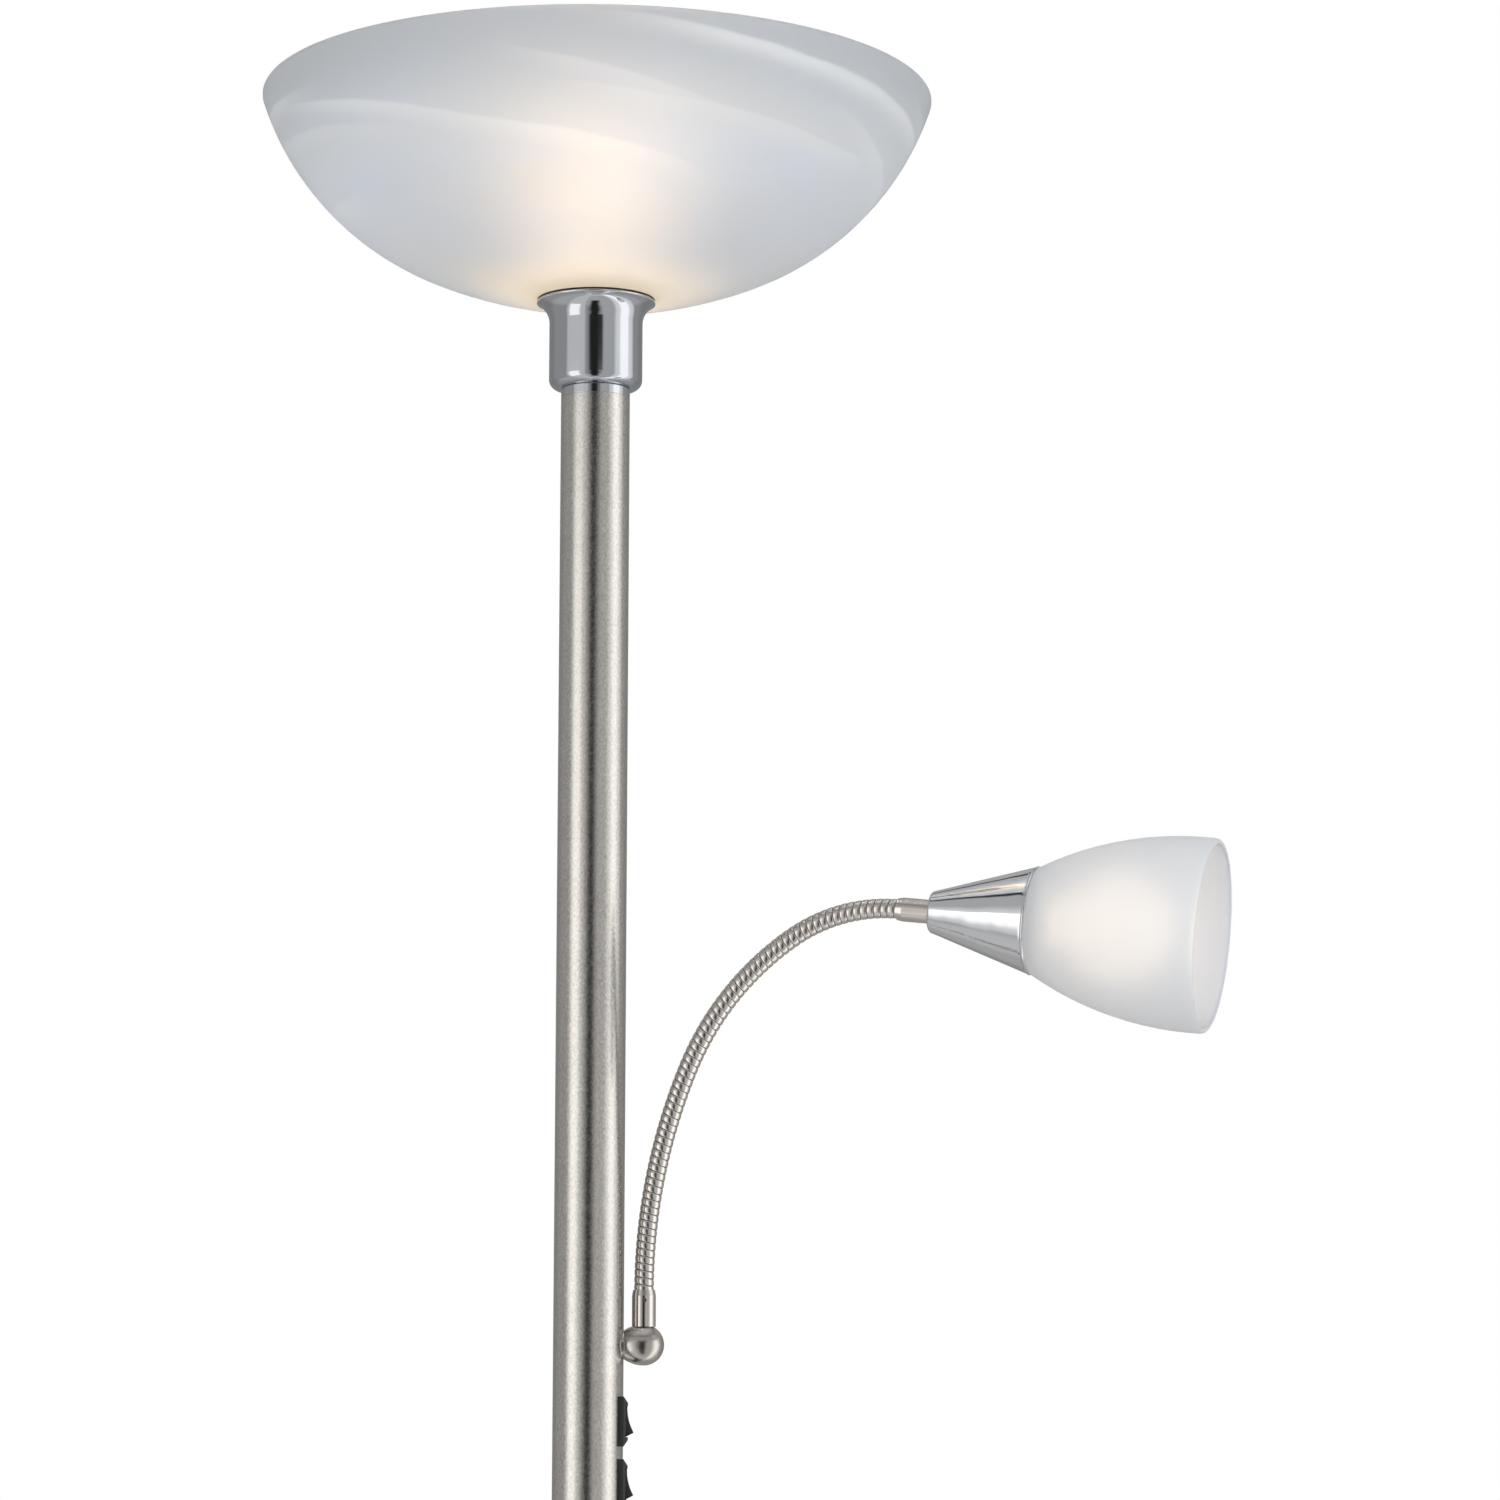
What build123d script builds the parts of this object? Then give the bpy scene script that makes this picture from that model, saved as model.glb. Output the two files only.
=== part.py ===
# Torchiere floor lamp: an upright pole with an upturned glass bowl on top and a
# reading light on a flexible arm at its side.
# Millimetres. The origin is on the floor under the pole. +Z is up, +X points from
# the pole to the reading arm's pivot and the switches, and -Y is the front.

import os
from math import cos, radians, sin, sqrt

from build123d import *

os.makedirs("parts", exist_ok=True)

# ---- driving dimensions ----

lamp_height = 1800.0            # floor to the bowl's rim
sheet = 1.2                     # spun and drawn metal

pole_radius = 14.3              # 1 1/8 inch tube
pole_bore_radius = 13.1
pole_joint_heights = (578.0, 1125.0)
pole_top = 1671.8
cap_height = 4.0                # polished ring between the pole and the cup
inside_fit = 0.05               # radial play of plugs and sleeves inside the pole

bowl_radius = 140.0
bowl_wall = 4.0
bowl_hole_radius = 18.5
bowl_seat_radius = 24.9         # ring ground flat where the bowl rests
bowl_seat_height = lamp_height - 86.3
bowl_bottom_radius = 192.0      # radius of the shallow arc round the axis
bowl_bottom_height = lamp_height - 87.9
bowl_bend_radius = 75.3         # distance from the axis where the rim arc takes over

base_radius = 135.0
base_edge_height = 16.0
base_top_height = 31.0

m10_radius = 5.0                # hollow threaded rod
m10_bore_radius = 3.5
m8_radius = 4.0
m8_bore_radius = 2.2
thread_fit = 0.02

switch_heights = (1250.5, 1225.5)
switch_face = 16.0              # outer face of each switch frame, from the pole's axis
rocker_tilt = 13.0              # degrees each way from level

ball_x = 22.4
ball_height = 1281.3
ball_radius = 8.3
ball_flat_x = 14.6              # where the ball is cut flat against its washer
ball_flat_radius = 6.0
ferrule_radius = 4.85

arm_turn = 19.5                 # degrees that the arm is swung towards the front
arm_start_height = 1303.4
gooseneck_radius = 4.0
link_length = 23.1
gooseneck_arcs = ((4, 23.1), (3, 34.0), (2, 39.2))   # links in each arc, degrees it turns
knuckle_radius = 2.9
link_bore_radius = 2.97
link_gap = 1.75                 # between the tubes of two links, at their knuckle

lead_radius = 1.8
arm_lead_radius = 1.6

# ---- base ----

weight_radius = 132.4
weight_bottom = 2.0
weight_top = 18.0
pocket_ceiling = 15.6           # hollow under the weight for the nut
channel_ceiling = 14.0
lead_hole_height = 8.0          # centre of the mains lead's way in
block_near, block_far = 52.0, 70.0

with BuildPart() as base_cover:
    with BuildSketch(Plane.XZ):
        with BuildLine():
            edge = Line((base_radius, 1.2), (base_radius, base_edge_height))
            shoulder = TangentArc(edge @ 1, (base_radius - 5, base_edge_height + 5), tangent=(0, 1))
            dome = TangentArc(shoulder @ 1, (32, base_top_height), tangent=shoulder % 1)
            Line(dome @ 1, (m10_radius + 0.1, base_top_height))
            offset(amount=sheet, side=Side.LEFT)
        make_face()
    revolve(axis=Axis.Z)
    with BuildSketch(Plane.XZ.offset(-base_radius - 5)):
        with Locations((0, lead_hole_height)):
            Circle(4.6)
    extrude(amount=10, mode=Mode.SUBTRACT)
base_cover.part.label = "base_cover"
export_step(base_cover.part, "parts/base_cover.step")

with BuildPart() as base_weight:
    with BuildSketch(Plane.XY.offset(weight_bottom)):
        Circle(weight_radius)
    extrude(amount=weight_top - weight_bottom)
    fillet(base_weight.edges().group_by(Axis.Z)[-1], 6)
    with BuildSketch(Plane.XY.offset(weight_top)):
        Circle(24)
    extrude(amount=base_top_height - sheet - weight_top)
    with BuildSketch(Plane.XY.offset(weight_bottom)):
        Circle(20)
    extrude(amount=pocket_ceiling - weight_bottom, mode=Mode.SUBTRACT)
    with BuildSketch(Plane.XY.offset(weight_bottom)):
        with Locations((0, weight_radius / 2)):
            Rectangle(13, weight_radius + 2)
        with Locations((0, (block_near + block_far) / 2)):
            Rectangle(28, block_far - block_near + 6)
    extrude(amount=channel_ceiling - weight_bottom, mode=Mode.SUBTRACT)
    with BuildSketch(Plane.XY):
        Circle(m10_radius + 0.25)
    extrude(amount=base_top_height + 5, mode=Mode.SUBTRACT)
base_weight.part.label = "base_weight"
export_step(base_weight.part, "parts/base_weight.step")

with BuildPart() as base_pad:
    with BuildSketch(Plane.XY):
        Circle(weight_radius - 0.6)
    extrude(amount=weight_bottom)
    chamfer(base_pad.edges().group_by(Axis.Z)[0], 0.5)
base_pad.part.label = "base_pad"
export_step(base_pad.part, "parts/base_pad.step")

with BuildPart() as base_washer:
    with BuildSketch(Plane.XY.offset(pocket_ceiling - 1.6)):
        Circle(15)
        Circle(m10_radius + 0.2, mode=Mode.SUBTRACT)
    extrude(amount=1.6)
base_washer.part.label = "base_washer"
export_step(base_washer.part, "parts/base_washer.step")

with BuildPart() as base_nut:
    with BuildSketch(Plane.XY.offset(8.2)):
        RegularPolygon(8.5, 6, major_radius=False)
        Circle(m10_radius + thread_fit, mode=Mode.SUBTRACT)
    extrude(amount=pocket_ceiling - 1.6 - 8.2)
    chamfer(base_nut.edges().filter_by(GeomType.CIRCLE).group_by(Axis.Z)[0], 0.4)
base_nut.part.label = "base_nut"
export_step(base_nut.part, "parts/base_nut.step")

with BuildPart() as base_stud:
    with BuildSketch(Plane.XY.offset(7.6)):
        Circle(m10_radius)
        Circle(m10_bore_radius, mode=Mode.SUBTRACT)
    extrude(amount=47.4)
    chamfer(base_stud.edges().group_by(Axis.Z)[0], 0.5)
    chamfer(base_stud.edges().group_by(Axis.Z)[-1], 0.5)
base_stud.part.label = "base_stud"
export_step(base_stud.part, "parts/base_stud.step")

with BuildPart() as foot_plug:
    with BuildSketch(Plane.XY.offset(base_top_height)):
        Circle(pole_bore_radius - inside_fit)
        Circle(m10_radius + thread_fit, mode=Mode.SUBTRACT)
    extrude(amount=33)
    chamfer(foot_plug.edges().group_by(Axis.Z)[-1], 0.8)
foot_plug.part.label = "foot_plug"
export_step(foot_plug.part, "parts/foot_plug.step")

with BuildPart() as foot_collar:
    with BuildSketch(Plane.XZ):
        with BuildLine():
            Line((pole_radius + 0.1, base_top_height), (30, base_top_height))
            Line((30, base_top_height), (30, base_top_height + 1.6))
            ThreePointArc((30, base_top_height + 1.6), (20.5, base_top_height + 4.2),
                          (16.2, base_top_height + 10))
            Line((16.2, base_top_height + 10), (pole_radius + 0.1, base_top_height + 10))
            Line((pole_radius + 0.1, base_top_height + 10), (pole_radius + 0.1, base_top_height))
        make_face()
    revolve(axis=Axis.Z)
foot_collar.part.label = "foot_collar"
export_step(foot_collar.part, "parts/foot_collar.step")

with BuildPart() as lead_gland:
    with BuildSketch(Plane.XZ.offset(-base_radius - 2.4)):
        with Locations((0, lead_hole_height)):
            Circle(6.2)
    extrude(amount=8)
    with BuildSketch(Plane.XY):
        Circle(base_radius)
    extrude(amount=20, mode=Mode.SUBTRACT)
    with BuildSketch(Plane.XZ.offset(-base_radius - 1)):
        with Locations((0, lead_hole_height)):
            Circle(4.55)
    extrude(amount=9)
    with BuildSketch(Plane.XZ.offset(-base_radius - 4)):
        with Locations((0, lead_hole_height)):
            Circle(3.1)
    extrude(amount=16, mode=Mode.SUBTRACT)
lead_gland.part.label = "lead_gland"
export_step(lead_gland.part, "parts/lead_gland.step")

block_ways = (-7.5, 0.0, 7.5)
block_screw_rows = (block_near + 4.5, block_far - 4.5)
with BuildPart() as terminal_block:
    with BuildSketch(Plane.XY.offset(weight_bottom + 0.3)):
        with Locations((0, (block_near + block_far) / 2)):
            RectangleRounded(24, block_far - block_near, 1.5)
    extrude(amount=11)
    with BuildSketch(Plane.XZ.offset(-block_far - 1)):
        with Locations(*[(x, 9.0) for x in block_ways]):
            Circle(2.0)
    extrude(amount=block_far - block_near - 4, mode=Mode.SUBTRACT)
    with BuildSketch(Plane.XY):
        with Locations(*[(x, y) for x in block_ways for y in block_screw_rows]):
            Circle(1.6)
    extrude(amount=7, mode=Mode.SUBTRACT)
terminal_block.part.label = "terminal_block"
export_step(terminal_block.part, "parts/terminal_block.step")

with BuildPart() as terminal_screws:
    with BuildSketch(Plane.XY.offset(4.6)):
        with Locations(*[(x, y) for x in block_ways for y in block_screw_rows]):
            Circle(1.55)
    extrude(amount=2.3)
terminal_screws.part.label = "terminal_screws"
export_step(terminal_screws.part, "parts/terminal_screws.step")

# ---- pole: three tubes screwed together on sleeves inside ----

pole_ends = (base_top_height, *pole_joint_heights, pole_top)
for name, bottom, top in zip(("lower_pole", "middle_pole", "upper_pole"), pole_ends, pole_ends[1:]):
    with BuildPart() as pole:
        with BuildSketch(Plane.XY.offset(bottom)):
            Circle(pole_radius)
            Circle(pole_bore_radius, mode=Mode.SUBTRACT)
        extrude(amount=top - bottom)
        if name == "upper_pole":
            for height in switch_heights:
                with BuildSketch(Plane.YZ):
                    with Locations((0, height)):
                        Rectangle(13.0, 18.6)
                extrude(amount=20, mode=Mode.SUBTRACT)
            with BuildSketch(Plane.YZ):
                with Locations((0, ball_height)):
                    Circle(m8_radius + 0.05)
            extrude(amount=20, mode=Mode.SUBTRACT)
    pole.part.label = name
    export_step(pole.part, f"parts/{name}.step")

with BuildPart() as pole_sleeves:
    for height in pole_joint_heights:
        with BuildSketch(Plane.XY.offset(height - 25)):
            Circle(pole_bore_radius - inside_fit)
            Circle(8.5, mode=Mode.SUBTRACT)
        extrude(amount=50)
    chamfer(pole_sleeves.edges().filter_by(GeomType.CIRCLE), 0.8)
pole_sleeves.part.label = "pole_sleeves"
export_step(pole_sleeves.part, "parts/pole_sleeves.step")

# ---- head: the cup under the bowl, the bowl, its lampholder and its bulb ----

cup_bottom = pole_top + cap_height
cup_radius = 19.4
cup_flare_start = 1703.5
cup_lip_radius = 24.7
cup_lip_height = bowl_seat_height - 0.7

with BuildPart() as pole_cap:
    with BuildSketch(Plane.XY.offset(pole_top)):
        Circle(pole_radius)
    extrude(amount=cap_height)
    rims = pole_cap.edges().filter_by(GeomType.CIRCLE).sort_by(Axis.Z)
    fillet(rims[-1], 0.5)
    fillet(rims[0], 0.3)
    with BuildSketch(Plane.XY.offset(pole_top)):
        Circle(pole_bore_radius - inside_fit)
    extrude(amount=-18)
    with BuildSketch(Plane.XY.offset(cup_bottom)):
        Circle(m10_radius + thread_fit)
    extrude(amount=-(cap_height + 20), mode=Mode.SUBTRACT)
pole_cap.part.label = "pole_cap"
export_step(pole_cap.part, "parts/pole_cap.step")

with BuildPart() as head_stud:
    with BuildSketch(Plane.XY.offset(pole_top - 18)):
        Circle(m10_radius)
        Circle(m10_bore_radius, mode=Mode.SUBTRACT)
    extrude(amount=30)
    chamfer(head_stud.edges().group_by(Axis.Z)[0], 0.5)
    chamfer(head_stud.edges().group_by(Axis.Z)[-1], 0.5)
head_stud.part.label = "head_stud"
export_step(head_stud.part, "parts/head_stud.step")

with BuildPart() as bowl_cup:
    with BuildSketch(Plane.XZ):
        with BuildLine():
            floor = Line((m10_radius + 0.1, cup_bottom), (cup_radius - 3.8, cup_bottom))
            corner = TangentArc(floor @ 1, (cup_radius, cup_bottom + 3.8), tangent=(1, 0))
            wall = Line(corner @ 1, (cup_radius, cup_flare_start))
            flare = TangentArc(wall @ 1, (cup_lip_radius, cup_lip_height - 1.0), tangent=(0, 1))
            Line(flare @ 1, (cup_lip_radius, cup_lip_height))
            offset(amount=sheet, side=Side.LEFT)
        make_face()
    revolve(axis=Axis.Z)
bowl_cup.part.label = "bowl_cup"
export_step(bowl_cup.part, "parts/bowl_cup.step")

with BuildPart() as bowl_gasket:
    with BuildSketch(Plane.XY.offset(cup_lip_height)):
        Circle(cup_lip_radius - 0.2)
        Circle(21.5, mode=Mode.SUBTRACT)
    extrude(amount=bowl_seat_height - cup_lip_height)
bowl_gasket.part.label = "bowl_gasket"
export_step(bowl_gasket.part, "parts/bowl_gasket.step")


def bowl_skin_height(radius):
    """Height of the bowl's shallow outer arc at a distance from the axis."""
    drop = sqrt(bowl_bottom_radius**2 - radius**2)
    return bowl_bottom_height + bowl_bottom_radius - drop


with BuildPart() as glass_bowl:
    with BuildSketch(Plane.XZ):
        with BuildLine():
            seat = Line((bowl_hole_radius, bowl_seat_height), (bowl_seat_radius, bowl_seat_height))
            middle_radius = (bowl_seat_radius + bowl_bend_radius) / 2
            shallow = ThreePointArc(seat @ 1, (middle_radius, bowl_skin_height(middle_radius)),
                                    (bowl_bend_radius, bowl_skin_height(bowl_bend_radius)))
            TangentArc(shallow @ 1, (bowl_radius + 0.4, lamp_height - 0.8), tangent=shallow % 1)
            offset(amount=bowl_wall, side=Side.LEFT)
        make_face()
    revolve(axis=Axis.Z)
    fillet(glass_bowl.edges().filter_by(GeomType.CIRCLE).sort_by(Axis.Z)[-2:], 1.6)
glass_bowl.part.label = "glass_bowl"
export_step(glass_bowl.part, "parts/glass_bowl.step")

holder_bottom = cup_bottom + sheet
holder_split = holder_bottom + 14.4
with BuildPart() as bowl_holder_cap:
    with BuildSketch(Plane.XY.offset(holder_bottom)):
        Circle(17.0)
    extrude(amount=holder_split - holder_bottom)
    fillet(bowl_holder_cap.edges().group_by(Axis.Z)[0], 3)
    with BuildSketch(Plane.XY.offset(holder_bottom + 3)):
        Circle(15.2)
    extrude(amount=20, mode=Mode.SUBTRACT)
    with BuildSketch(Plane.XY.offset(holder_bottom)):
        Circle(m10_radius + thread_fit)
    extrude(amount=3, mode=Mode.SUBTRACT)
bowl_holder_cap.part.label = "bowl_holder_cap"
export_step(bowl_holder_cap.part, "parts/bowl_holder_cap.step")

with BuildPart() as bowl_holder_body:
    with BuildSketch(Plane.XY.offset(holder_split)):
        Circle(17.4)
        Circle(15.0, mode=Mode.SUBTRACT)
    extrude(amount=38)
    chamfer(bowl_holder_body.edges().group_by(Axis.Z)[-1], 0.6)
bowl_holder_body.part.label = "bowl_holder_body"
export_step(bowl_holder_body.part, "parts/bowl_holder_body.step")

with BuildPart() as bowl_contact_disc:
    with BuildSketch(Plane.XY.offset(holder_split - 1.5)):
        Circle(14.95)
    extrude(amount=5)
    with BuildSketch(Plane.XY.offset(holder_split - 1.5)):
        with PolarLocations(9, 3):
            Circle(1.6)
    extrude(amount=5, mode=Mode.SUBTRACT)
bowl_contact_disc.part.label = "bowl_contact_disc"
export_step(bowl_contact_disc.part, "parts/bowl_contact_disc.step")

with BuildPart() as bowl_screw_shell:
    with BuildSketch(Plane.XY.offset(holder_split + 3.5)):
        Circle(13.9)
        Circle(13.45, mode=Mode.SUBTRACT)
    extrude(amount=26)
bowl_screw_shell.part.label = "bowl_screw_shell"
export_step(bowl_screw_shell.part, "parts/bowl_screw_shell.step")

with BuildPart() as bowl_ring:
    ring_bottom = bowl_seat_height + bowl_wall + 0.75
    with BuildSketch(Plane.XY.offset(ring_bottom)):
        Circle(27)
    extrude(amount=2.2)
    with BuildSketch(Plane.XY.offset(ring_bottom)):
        Circle(20.5)
    extrude(amount=7)
    with BuildSketch(Plane.XY.offset(ring_bottom)):
        Circle(17.45)
    extrude(amount=7, mode=Mode.SUBTRACT)
bowl_ring.part.label = "bowl_ring"
export_step(bowl_ring.part, "parts/bowl_ring.step")

bulb_seat = holder_split + 3.5
bulb_cap_top = bulb_seat + 26
with BuildPart() as bowl_bulb_cap:
    with BuildSketch(Plane.XZ):
        with BuildLine():
            Polyline((0, bulb_seat), (4, bulb_seat), (9.5, bulb_seat + 3), (13.15, bulb_seat + 4),
                     (13.15, bulb_cap_top), (0, bulb_cap_top), (0, bulb_seat))
        make_face()
    revolve(axis=Axis.Z)
bowl_bulb_cap.part.label = "bowl_bulb_cap"
export_step(bowl_bulb_cap.part, "parts/bowl_bulb_cap.step")

bulb_radius = 27.5
bulb_top = bulb_seat + 90
bulb_centre = bulb_top - bulb_radius
with BuildPart() as bowl_bulb_glass:
    with BuildSketch(Plane.XZ):
        with BuildLine():
            neck = Line((12.8, bulb_cap_top), (12.8, bulb_cap_top + 3))
            side = TangentArc(neck @ 1, (bulb_radius * cos(radians(20)),
                                         bulb_centre - bulb_radius * sin(radians(20))), tangent=(0, 1))
            CenterArc((0, bulb_centre), bulb_radius, -20, 110)
            Line((0, bulb_top), (0, bulb_cap_top))
            Line((0, bulb_cap_top), neck @ 0)
        make_face()
    revolve(axis=Axis.Z)
    offset(amount=-0.8, openings=bowl_bulb_glass.faces().sort_by(Axis.Z)[0])
bowl_bulb_glass.part.label = "bowl_bulb_glass"
export_step(bowl_bulb_glass.part, "parts/bowl_bulb_glass.step")

# ---- rocker switches, one above the other on the pole's side ----

rocker_pivot_x = 12.5
rocker_half_width = 4.8
rocker_tip = (4.8, 5.7)                              # from the pivot: outwards, upwards
rocker_hollow = 0.85                                 # how far the rocker's face dips in its middle
housing_back = -1.5
bevel_start = 14.2
frame_size = (16.4, 20.0)                            # across, up
frame_face_size = (12.4, 14.8)
recess_width = 2 * rocker_half_width + 0.7
side_face, side_length = 15.1, 12.4                  # the frame's long sides lie lower than its ends

for name, height in zip(("upper", "lower"), switch_heights):
    with BuildPart() as housing:
        for distance, size in ((bevel_start, frame_size), (switch_face, frame_face_size)):
            with BuildSketch(Plane.YZ.offset(distance)):
                with Locations((0, height)):
                    Rectangle(*size)
        loft()
        with BuildSketch(Plane.YZ.offset(pole_bore_radius - 2.5)):
            with Locations((0, height)):
                Rectangle(*frame_size)
        extrude(amount=bevel_start - pole_bore_radius + 2.5)
        with BuildSketch(Plane.XY.offset(height - 15)):
            Circle(pole_radius)
        extrude(amount=30, mode=Mode.SUBTRACT)
        with BuildSketch(Plane.YZ.offset(housing_back)):
            with Locations((0, height)):
                Rectangle(12.8, 18.4)
        extrude(amount=bevel_start - housing_back)
        with BuildSketch(Plane.YZ.offset(3)):
            with Locations((0, height)):
                Rectangle(recess_width, 15.9)
        extrude(amount=bevel_start - 3, mode=Mode.SUBTRACT)
        with BuildSketch(Plane.YZ.offset(bevel_start)):
            with Locations((0, height)):
                Rectangle(recess_width, 14.0)
        extrude(amount=10, mode=Mode.SUBTRACT)
        with BuildSketch(Plane.YZ.offset(side_face)):
            with Locations((0, height)):
                Rectangle(frame_size[0], side_length)
        extrude(amount=switch_face - side_face, mode=Mode.SUBTRACT)
        with BuildSketch(Plane.XZ.offset(-6.1)):
            with Locations((rocker_pivot_x, height)):
                Circle(1.25)
        extrude(amount=12.2, mode=Mode.SUBTRACT)
    housing.part.label = f"{name}_switch_housing"
    export_step(housing.part, f"parts/{name}_switch_housing.step")

    tip_out, tip_up = rocker_tip
    tilted = Plane(origin=(rocker_pivot_x, rocker_half_width, height), z_dir=(0, -1, 0),
                   x_dir=(cos(radians(rocker_tilt)), 0, sin(radians(rocker_tilt))))
    with BuildPart() as rocker:
        with BuildSketch(tilted):
            with BuildLine():
                ThreePointArc((tip_out, tip_up), (tip_out - rocker_hollow, 0), (tip_out, -tip_up))
                Polyline((tip_out, -tip_up), (1.2, -6.6), (-2.5, -3.4), (-2.5, 3.4), (1.2, 6.6),
                         (tip_out, tip_up))
            make_face()
        extrude(amount=2 * rocker_half_width)
        fillet(rocker.edges().filter_by(Axis.Y).group_by(Axis.X)[-1], 0.4)
        with BuildSketch(Plane.XZ.offset(-6.0)):
            with Locations((rocker_pivot_x, height)):
                Circle(1.2)
        extrude(amount=12.0)
    rocker.part.label = f"{name}_rocker"
    export_step(rocker.part, f"parts/{name}_rocker.step")

blade_rise = 5.0
with BuildPart() as switch_blades:
    for height in switch_heights:
        with BuildSketch(Plane.YZ.offset(housing_back)):
            with Locations((-2.6, height - blade_rise), (2.6, height + blade_rise)):
                Rectangle(4.2, 0.8)
        extrude(amount=-6.8)
switch_blades.part.label = "switch_blades"
export_step(switch_blades.part, "parts/switch_blades.step")

# ---- pivot of the reading arm ----

stud_end = 19.8
groove_start, groove_end = 16.0, 18.8
with BuildPart() as pivot_washer:
    with BuildSketch(Plane.YZ.offset(pole_bore_radius - 2)):
        with Locations((0, ball_height)):
            Circle(5.9)
    extrude(amount=ball_flat_x - pole_bore_radius + 2)
    fillet(pivot_washer.edges().group_by(Axis.X)[-1], 0.4)
    with BuildSketch(Plane.XY.offset(ball_height - 10)):
        Circle(pole_radius)
    extrude(amount=20, mode=Mode.SUBTRACT)
    with BuildSketch(Plane.YZ):
        with Locations((0, ball_height)):
            Circle(m8_radius + 0.05)
    extrude(amount=20, mode=Mode.SUBTRACT)
pivot_washer.part.label = "pivot_washer"
export_step(pivot_washer.part, "parts/pivot_washer.step")

with BuildPart() as pivot_stud:
    with BuildSketch(Plane.XZ):
        stud_outline = [
            (5.0, m8_bore_radius), (5.0, m8_radius), (groove_start, m8_radius), (groove_start, 3.2),
            (groove_end, 3.2), (groove_end, m8_radius), (stud_end, m8_radius), (stud_end, 3.3),
            (stud_end - 1.1, m8_bore_radius), (5.0, m8_bore_radius)]
        with BuildLine():
            Polyline([(x, ball_height + r) for x, r in stud_outline])
        make_face()
    revolve(axis=Axis((0, 0, ball_height), (1, 0, 0)))
pivot_stud.part.label = "pivot_stud"
export_step(pivot_stud.part, "parts/pivot_stud.step")

with BuildPart() as pivot_nut:
    with BuildSketch(Plane.YZ.offset(8.1)):
        with Locations((0, ball_height)):
            RegularPolygon(6.0, 6, major_radius=False, rotation=30)
            Circle(m8_radius + thread_fit, mode=Mode.SUBTRACT)
    extrude(amount=3.5)
pivot_nut.part.label = "pivot_nut"
export_step(pivot_nut.part, "parts/pivot_nut.step")

ball_top_flat = ball_height + 7.3
with BuildPart() as pivot_ball:
    with BuildSketch(Plane.XZ):
        with BuildLine():
            face = Line((ball_flat_x, ball_height), (ball_flat_x, ball_height + ball_flat_radius))
            ball_crown = (ball_x, ball_height + ball_radius)
            TangentArc(ball_crown, face @ 1, tangent=(-1, 0))
            round_end = CenterArc((ball_x, ball_height), ball_radius, 0, 90)
            Line(round_end @ 0, face @ 0)
        make_face()
    revolve(axis=Axis((0, 0, ball_height), (1, 0, 0)))
    split(bisect_by=Plane.XY.offset(ball_top_flat), keep=Keep.BOTTOM)
    with BuildSketch(Plane.YZ.offset(ball_flat_x)):
        with Locations((0, ball_height)):
            Circle(m8_radius + 0.05)
    extrude(amount=11, mode=Mode.SUBTRACT)
    with BuildSketch(Plane.XY.offset(ball_height)):
        with Locations((ball_x, 0)):
            Circle(2.97)
    extrude(amount=10, mode=Mode.SUBTRACT)
    with BuildSketch(Plane.XY.offset(ball_height)):
        with Locations(((groove_start + groove_end) / 2, 0)):
            Circle(1.25 + thread_fit)
    extrude(amount=-10, mode=Mode.SUBTRACT)
pivot_ball.part.label = "pivot_ball"
export_step(pivot_ball.part, "parts/pivot_ball.step")

with BuildPart() as ball_screw:
    with BuildSketch(Plane.XY.offset(ball_height - 6.2)):
        with Locations(((groove_start + groove_end) / 2, 0)):
            Circle(1.25)
    extrude(amount=2.8)
    with BuildSketch(Plane.XY.offset(ball_height - 6.2)):
        with Locations(((groove_start + groove_end) / 2, 0)):
            RegularPolygon(0.6, 6)
    extrude(amount=1.2, mode=Mode.SUBTRACT)
ball_screw.part.label = "ball_screw"
export_step(ball_screw.part, "parts/ball_screw.step")

with BuildPart() as lower_ferrule:
    with BuildSketch(Plane.XZ):
        with BuildLine():
            Polyline((ball_x + m8_bore_radius, ball_top_flat - 2.7), (ball_x + 2.92, ball_top_flat - 2.7),
                     (ball_x + 2.92, ball_top_flat), (ball_x + ferrule_radius, ball_top_flat),
                     (ball_x + ferrule_radius, arm_start_height - 2.4),
                     (ball_x + 4.45, arm_start_height), (ball_x + 4.05, arm_start_height),
                     (ball_x + 4.05, arm_start_height - 5.2),
                     (ball_x + m8_bore_radius, arm_start_height - 5.2),
                     (ball_x + m8_bore_radius, ball_top_flat - 2.7))
        make_face()
    revolve(axis=Axis((ball_x, 0, 0), (0, 0, 1)))
    with BuildSketch(Plane.XZ.offset(ferrule_radius - 0.45)):
        with Locations((ball_x, arm_start_height - 4.2)):
            Circle(0.9)
    extrude(amount=2, mode=Mode.SUBTRACT)
lower_ferrule.part.label = "lower_ferrule"
export_step(lower_ferrule.part, "parts/lower_ferrule.step")

# ---- flexible arm: a chain of short curved tubes, each with a hollow knuckle ----
# The arm is drawn in the XZ plane and then swung towards the front about the
# upright through the ball.

arm_upright = Axis((ball_x, 0, 0), (0, 0, 1))


def along(point, heading, distance, turn):
    """End point and heading after an arc that turns down by `turn` degrees."""
    x, z = point
    if turn == 0:
        return (x + distance * cos(radians(heading)), z + distance * sin(radians(heading))), heading
    radius = distance / radians(turn)
    end = heading - turn
    x += radius * (sin(radians(heading)) - sin(radians(end)))
    z += radius * (cos(radians(end)) - cos(radians(heading)))
    return (x, z), end


def cross_plane(point, heading):
    """Plane square to the arm at a point of its centre line."""
    return Plane(origin=(point[0], 0, point[1]), x_dir=(0, 1, 0),
                 z_dir=(cos(radians(heading)), 0, sin(radians(heading))))


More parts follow.
